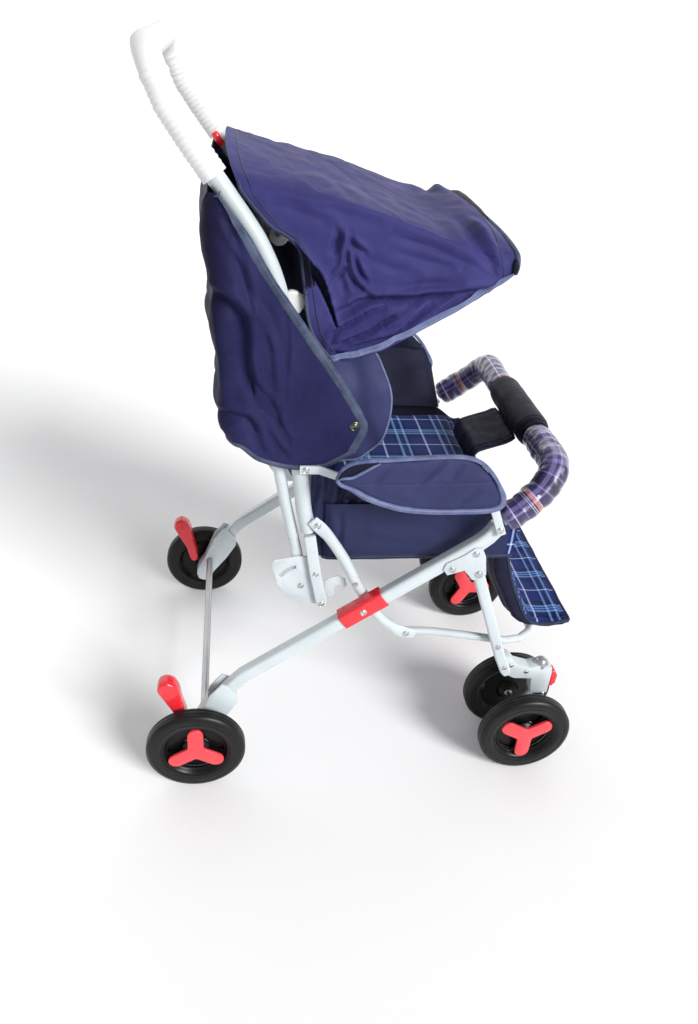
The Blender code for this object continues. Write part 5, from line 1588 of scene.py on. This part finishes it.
move_verts(arm, arm_shape)
arm.data.materials.append(M_DARK)
for f in arm.data.polygons:
    f.material_index = 1 if f.normal.y > 0.35 else 0
arm_l = bpy.data.objects.new("arm_cushion_left", arm.data.copy())
bpy.context.scene.collection.objects.link(arm_l)
for v in arm_l.data.vertices:
    v.co.y = -v.co.y
arm_l.data.flip_normals()
for tag, s, ob in (("right", -1, arm), ("left", 1, arm_l)):
    stand(ob, "arm_pad_" + tag)
    ring = [Vector((acx + (p.x - acx) * 0.992, s * 0.2362, acz + (p.z - acz) * (0.992 if p.z > acz else 0.968))) for p in ao]
    ring = smooth_path(ring + ring[:1], 1)
    hw = [0.0028 + 0.0020 * min(1.0, max(0.0, (acz - p.z) / 0.02)) for p in ring]
    tp = sweep("arm_tape_" + tag, ring, hw, M_BIND, 12, normal=(0, 1, 0), flat=0.0040, angle=70)
    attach(tp, "armrests")
    # the cover's open end at the top rear
    mouth = catmull([(0.1905, s * 0.2400, 0.5470), (0.1980, s * 0.2425, 0.5490), (0.2080, s * 0.2434, 0.5510), (0.2200, s * 0.2434, 0.5580), (0.2300, s * 0.2428, 0.5640), (0.2420, s * 0.2408, 0.5705)], 6)
    tp = sweep("arm_mouth_tape_" + tag, mouth, 0.0020, M_BIND, 10, normal=(0, 1, 0), flat=0.0014, angle=70)
    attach(tp, "armrests")
    up = [Vector((0.1905, 0, 0.5490)), Vector((0.1955, 0, 0.5580)), Vector((0.2070, 0, 0.5660)), Vector((0.2220, 0, 0.5700)), Vector((0.2400, 0, 0.5715))]
    up = catmull(up, 7)
    mo = [along([(p.x, 0, p.z) for p in mouth], t / (len(up) - 1)) for t in range(len(up))]
    Gm = [[Vector((a.x + (b_.x - a.x) * k / 5, s * (0.2418 + 0.0008 * math.sin(PI * k / 5)), a.z + (b_.z - a.z) * k / 5)) for k in range(6)] for a, b_ in zip(mo, up)]
    sg = 1.0 if grid_normals(Gm)[10][3].y * s > 0 else -1.0
    pk = cloth("arm_opening_" + tag, Gm, M_DARK, 0.0012, sg)
    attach(pk, "armrests")

# inner side lining between the arm pad and the seat
for tag, s in (("right", -1), ("left", 1)):
    top = [(0.2080, 0.5300), (0.2400, 0.5420), (0.2900, 0.5480), (0.3300, 0.5480), (0.3650, 0.5470), (0.3930, 0.5400), (0.4110, 0.5180)]
    bot = [(0.2080, 0.4640), (0.2500, 0.4640), (0.2950, 0.4640), (0.3350, 0.4640), (0.3700, 0.4640), (0.4000, 0.4630), (0.4200, 0.4620)]
    ctrl = [[Vector((a[0] + (b_[0] - a[0]) * k / 6, s * (0.2195 - 0.0590 * (k / 6) ** 1.3), a[1] + (b_[1] - a[1]) * k / 6)) for k in range(7)] for a, b_ in zip(top, bot)]
    Lg = refine(ctrl, 8, 5)
    sg = 1.0 if grid_normals(Lg)[20][15].y * s > 0 else -1.0
    Lg = push(Lg, lambda i, j, p: (0.0022 * math.sin(p.x * 70 + 30 * p.z) * math.sin(PI * j / 30) + 0.0014 * fbm(p, 22.0, 9.0)) * math.sin(PI * min(1.0, 0.15 + j / 30)) ** 0.5 if j < 25 else 0.0, sg)
    ob = cloth("side_lining_" + tag, Lg, M_DARK, 0.0012, sg)
    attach(ob, "armrests")

# ================================================================ seat skirt
ctrl = []
xs = [0.4700, 0.45, 0.42, 0.38, 0.34, 0.30, 0.26, 0.2250, 0.2030]
for z, dx, bulge in ((0.3760, 0.0, 0.0), (0.393, 0.0, 0.0010), (0.41, 0.0, 0.0016), (0.427, 0.0, 0.0016), (0.44, -0.001, 0.0012), (0.455, -0.002, 0.0006), (0.4690, -0.004, 0.0)):
    cut = 0.034 * (z - 0.376) / 0.093
    row = [(x + (dx if i == 0 else 0), -0.1752 - bulge, z - cut * min(1.0, max(0.0, (x - 0.395) / 0.055)) ** 1.2) for i, x in enumerate(xs)]
    row += [(0.1900, -0.1740, z), (0.1830, -0.1650, z), (0.1815, -0.12, z), (0.1812, -0.08, z), (0.1810, -0.04, z), (0.1810, 0.0, z)]
    row = row + [(p[0], -p[1], p[2]) for p in row[-2::-1]]
    ctrl.append([Vector(p) for p in row])
S = refine(ctrl, 7, 8)
SG = -1.0 if grid_normals(S)[10][10].y > 0 else 1.0
K1 = [(0.2050, 0.4600), (0.2080, 0.4300), (0.2060, 0.3850)]
K2 = [(0.2300, 0.4200), (0.2700, 0.4050), (0.3200, 0.4000)]
K3 = [(0.3300, 0.4350), (0.3700, 0.4100), (0.4200, 0.3950)]
K4 = [(0.2350, 0.4600), (0.2450, 0.4300), (0.2420, 0.4000)]


def skirt_push(i, j, p):
    q = (p.x, p.z)
    d = crease(q, K1, 0.0050, 0.0026) + crease(q, K2, 0.0100, 0.0014) + crease(q, K3, 0.0110, 0.0014) + crease(q, K4, 0.0060, 0.0012)
    d += 0.0014 * fbm(p, 12.0, 6.0) - 0.0007 * math.exp(-((p.z - 0.3855) / 0.0012) ** 2)
    e = min(1.0, (len(S) - 1 - i) / 6)
    return max(-0.0035, min(0.0009, d)) * e


S = push(S, skirt_push, SG)
skirt = cloth("skirt_cloth", S, M_SKIRT, 0.0011, SG, M_DARK)
skirt.data.materials.append(M_PLAID)
put_vec(skirt, lambda p: (p.x - 0.4640 + 0.705, p.z - 0.3990 + 0.92, 0.0))
for f in skirt.data.polygons:
    if f.material_index == 0 and f.center.x + XM > 0.4585:
        f.material_index = 2
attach(skirt, "seat")
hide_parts("seat_skirt")
HANDLED.add("seat_skirt")
sn = grid_normals(S)
for name, row, hw, ht, mat in (("skirt_hem_tape", 1, 0.0036, 0.0010, M_BIND_D),):
    pts = [S[row][j] for j in range(len(S[0]))]
    nor = [sn[row][j] * SG for j in range(len(S[0]))]
    t = edge_tape(name, pts, nor, hw, ht, mat, 0.0002)
    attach(t, "seat")

for tag, s in (("right", -1), ("left", 1)):
    ctrl = []
    for z, xa, xb in ((0.3800, 0.1740, 0.2320), (0.4000, 0.1720, 0.2330), (0.4200, 0.1700, 0.2340), (0.4400, 0.1680, 0.2350), (0.4600, 0.1660, 0.2350), (0.4800, 0.1650, 0.2330), (0.5000, 0.1640, 0.2280), (0.5180, 0.1640, 0.2180)):
        ctrl.append([Vector((xa + (xb - xa) * k / 6, s * (0.1735 - 0.0020 * (k / 6)), z)) for k in range(7)])
    Q = refine(ctrl, 6, 6)
    sg = 1.0 if grid_normals(Q)[20][15].y * s > 0 else -1.0
    Q = push(Q, lambda i, j, p: max(-0.0050, min(0.0006, 0.0028 * math.sin(p.x * 330 + 1.2 * math.sin(p.z * 60)) - 0.0022 + 0.0010 * fbm(p, 26.0, 5.0 + s))), sg)
    ob = cloth("seat_corner_" + tag, Q, M_SKIRT, 0.0011, sg, M_DARK)
    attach(ob, "seat")

# ================================================================ bumper
right = [p for p in bpath if p.y < -0.09]
d0 = (Vector(bh[1]) - Vector(bh[0])).normalized()
for tag, s in (("right", -1), ("left", 1)):
    first = Vector(bh[0]) + d0 * 0.003
    seq = [Vector((first.x, -first.y, first.z))] + [p for p in right if p.x > first.x + 0.004] + [Vector((0.5035, -0.0853, 0.5340))]
    seq = smooth_path(even(seq, 0.0022), 3)
    n = len(seq)
    tot = arc_len(seq)[-1]

    def slv(i, a_, g, n=n, seq=seq, s=s):
        p = seq[i]
        e = min(a_, tot - a_)
        r = 0.0212
        r *= 0.72 + 0.28 * min(1.0, e / 0.008) ** 0.5
        q = Vector((p.x + 0.02 * math.cos(g), s * p.y + 0.02 * math.sin(g), p.z))
        wr = 0.0016 * fbm(q, 34.0, 3.0) + 0.0006 * math.sin(a_ * 330 + 2.2 * math.sin(2 * g) + 3 * noise.noise(q * 30))
        return r + wr * min(1.0, e / 0.006)

    seq2 = [Vector((p.x, s * abs(p.y), p.z)) for p in seq]
    ob = sweep("bumper_sleeve_v_" + tag, seq2, slv, M_BUMP, 36, inner=0.0083, angle=75)
    stand(ob, "bumper_sleeve_" + tag)


def pad_r(i, a_, g):
    e = min(a_, 0.170 - a_)
    r = 0.0212 + 0.0040 * min(1.0, max(0.0, e - 0.003) / 0.010) ** 0.6
    p = Vector((0.5035 + 0.025 * math.cos(g), a_, 0.5340 + 0.025 * math.sin(g)))
    r += 0.0007 * fbm(p, 30.0, 1.0) * min(1.0, e / 0.01)
    if abs(e - 0.0130) < 0.0012:
        r -= 0.0007
    return r


seq = even([(0.5035, -0.0850, 0.5340), (0.5035, 0.0850, 0.5340)], 0.0017)
ob = sweep("bumper_pad_v", seq, pad_r, M_PAD, 40, inner=0.0083, angle=75)
stand(ob, "bumper_pad")

# wide padded strap from the bumper pad over to the seat's front
st = [
    ((0.4905, 0.5116), (0.4852, 0.5156)), ((0.4748, 0.5018), (0.4722, 0.5080)), ((0.4570, 0.4956), (0.4549, 0.5020)), ((0.4412, 0.4902), (0.4388, 0.4965)),
    ((0.4325, 0.4855), (0.4272, 0.4910)), ((0.4280, 0.4770), (0.4208, 0.4784)), ((0.4268, 0.4640), (0.4200, 0.4640)),
]
strap = pad_block("crotch_strap_pad", st, 0.0555, M_STRAP, 24, 0.55)
md = strap.modifiers.new("sub", "SUBSURF")
md.levels = 1
md.render_levels = 1
bake(strap)
shade(strap, 70)


def strap_shape(p, n):
    d = 0.0009 * fbm(p, 45.0, 2.0) + 0.0004 * math.sin(p.x * 300 + 4.0 * noise.noise(p * 20)) * (1 if n.z > 0.2 else 0)
    d -= 0.0016 * math.exp(-((abs(p.y) - 0.0475) / 0.0016) ** 2)
    return n * d


move_verts(strap, strap_shape)
stand(strap, "crotch_strap")
for tag, s in (("right", -1), ("left", 1)):
    line = catmull([((a[0] + b_[0]) / 2, s * 0.0553, (a[1] + b_[1]) / 2) for a, b_ in st], 5)
    t = sweep("strap_piping_" + tag, line[2:], 0.0020, M_BIND_D, 10, angle=70)
    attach(t, "chassis")

# ================================================================ rest positions and baked transforms
def add_rest():
    for o in list(bpy.context.scene.objects):
        if o.type == "MESH" and "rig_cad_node" not in o and "rest" not in o.data.attributes:
            at = o.data.attributes.new("rest", "FLOAT_VECTOR", "POINT")
            flat = []
            for v in o.data.vertices:
                flat.extend(v.co)
            at.data.foreach_set("vector", flat)


add_rest()
for ob in [hood] + hood_bits:
    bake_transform(ob)
for ob in [cover] + back_bits:
    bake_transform(ob)

left_over = sorted(set(NODES) - HANDLED)
if left_over:
    print("CAD nodes still shown:", left_over)

# ================================================================ stage
fb = Build("floor")
fp = fb.obj()
fb.set(color=fb.ramp(fb.noise(fp, 1.5, 3.0), [(0.3, (0.88, 0.88, 0.88)), (0.7, (0.90, 0.90, 0.90))]), rough=0.8, spec=0.1)
prof = [(-9.0, 0.0), (3.0, 0.0)]
for k in range(1, 13):
    g = PI / 2 * k / 12
    prof.append((3.0 + 2.5 * math.sin(g), 2.5 - 2.5 * math.cos(g)))
prof.append((5.5, 9.0))
me = bpy.data.meshes.new("floor")
me.from_pydata([(x, q[0], q[1]) for q in prof for x in (-14, 14)], [], [(2 * k, 2 * k + 1, 2 * k + 3, 2 * k + 2) for k in range(len(prof) - 1)])
floor = bpy.data.objects.new("floor", me)
floor.data.materials.append(fb.m)
for f in floor.data.polygons:
    f.use_smooth = True
bpy.context.scene.collection.objects.link(floor)
floor.location.z = -0.0004

world = bpy.data.worlds.new("studio")
world.use_nodes = True
world.node_tree.nodes["Background"].inputs[0].default_value = (0.97, 0.98, 1.0, 1)
world.node_tree.nodes["Background"].inputs[1].default_value = 0.42
bpy.context.scene.world = world
bpy.context.scene.view_settings.view_transform = "Standard"

key = bpy.data.lights.new("key", "SUN")
key.energy = 3.75
key.angle = math.radians(24)
ko = bpy.data.objects.new("key", key)
bpy.context.scene.collection.objects.link(ko)
ko.rotation_euler = Vector((-0.74, 1.0, -0.72)).to_track_quat("-Z", "Y").to_euler()

# ================================================================ camera
yaw, pitch, roll = 0.168, 0.5619, 0.0852
fw = Vector((math.sin(yaw) * math.cos(pitch), math.cos(yaw) * math.cos(pitch), -math.sin(pitch)))
rt = Vector((math.cos(yaw), -math.sin(yaw), 0))
upv = rt.cross(fw)
r2 = math.cos(roll) * rt + math.sin(roll) * upv
u2 = -math.sin(roll) * rt + math.cos(roll) * upv
cam = bpy.data.cameras.new("camera")
cam.sensor_fit = "VERTICAL"
cam.sensor_height = 36.0
cam.lens = 808.56 / 1024 * 36
cam.clip_start = 0.01
co = bpy.data.objects.new("camera", cam)
bpy.context.scene.collection.objects.link(co)
co.matrix_world = Matrix(((r2.x, u2.x, -fw.x, -0.2099), (r2.y, u2.y, -fw.y, -1.1181), (r2.z, u2.z, -fw.z, 1.0584), (0, 0, 0, 1)))
bpy.context.scene.camera = co
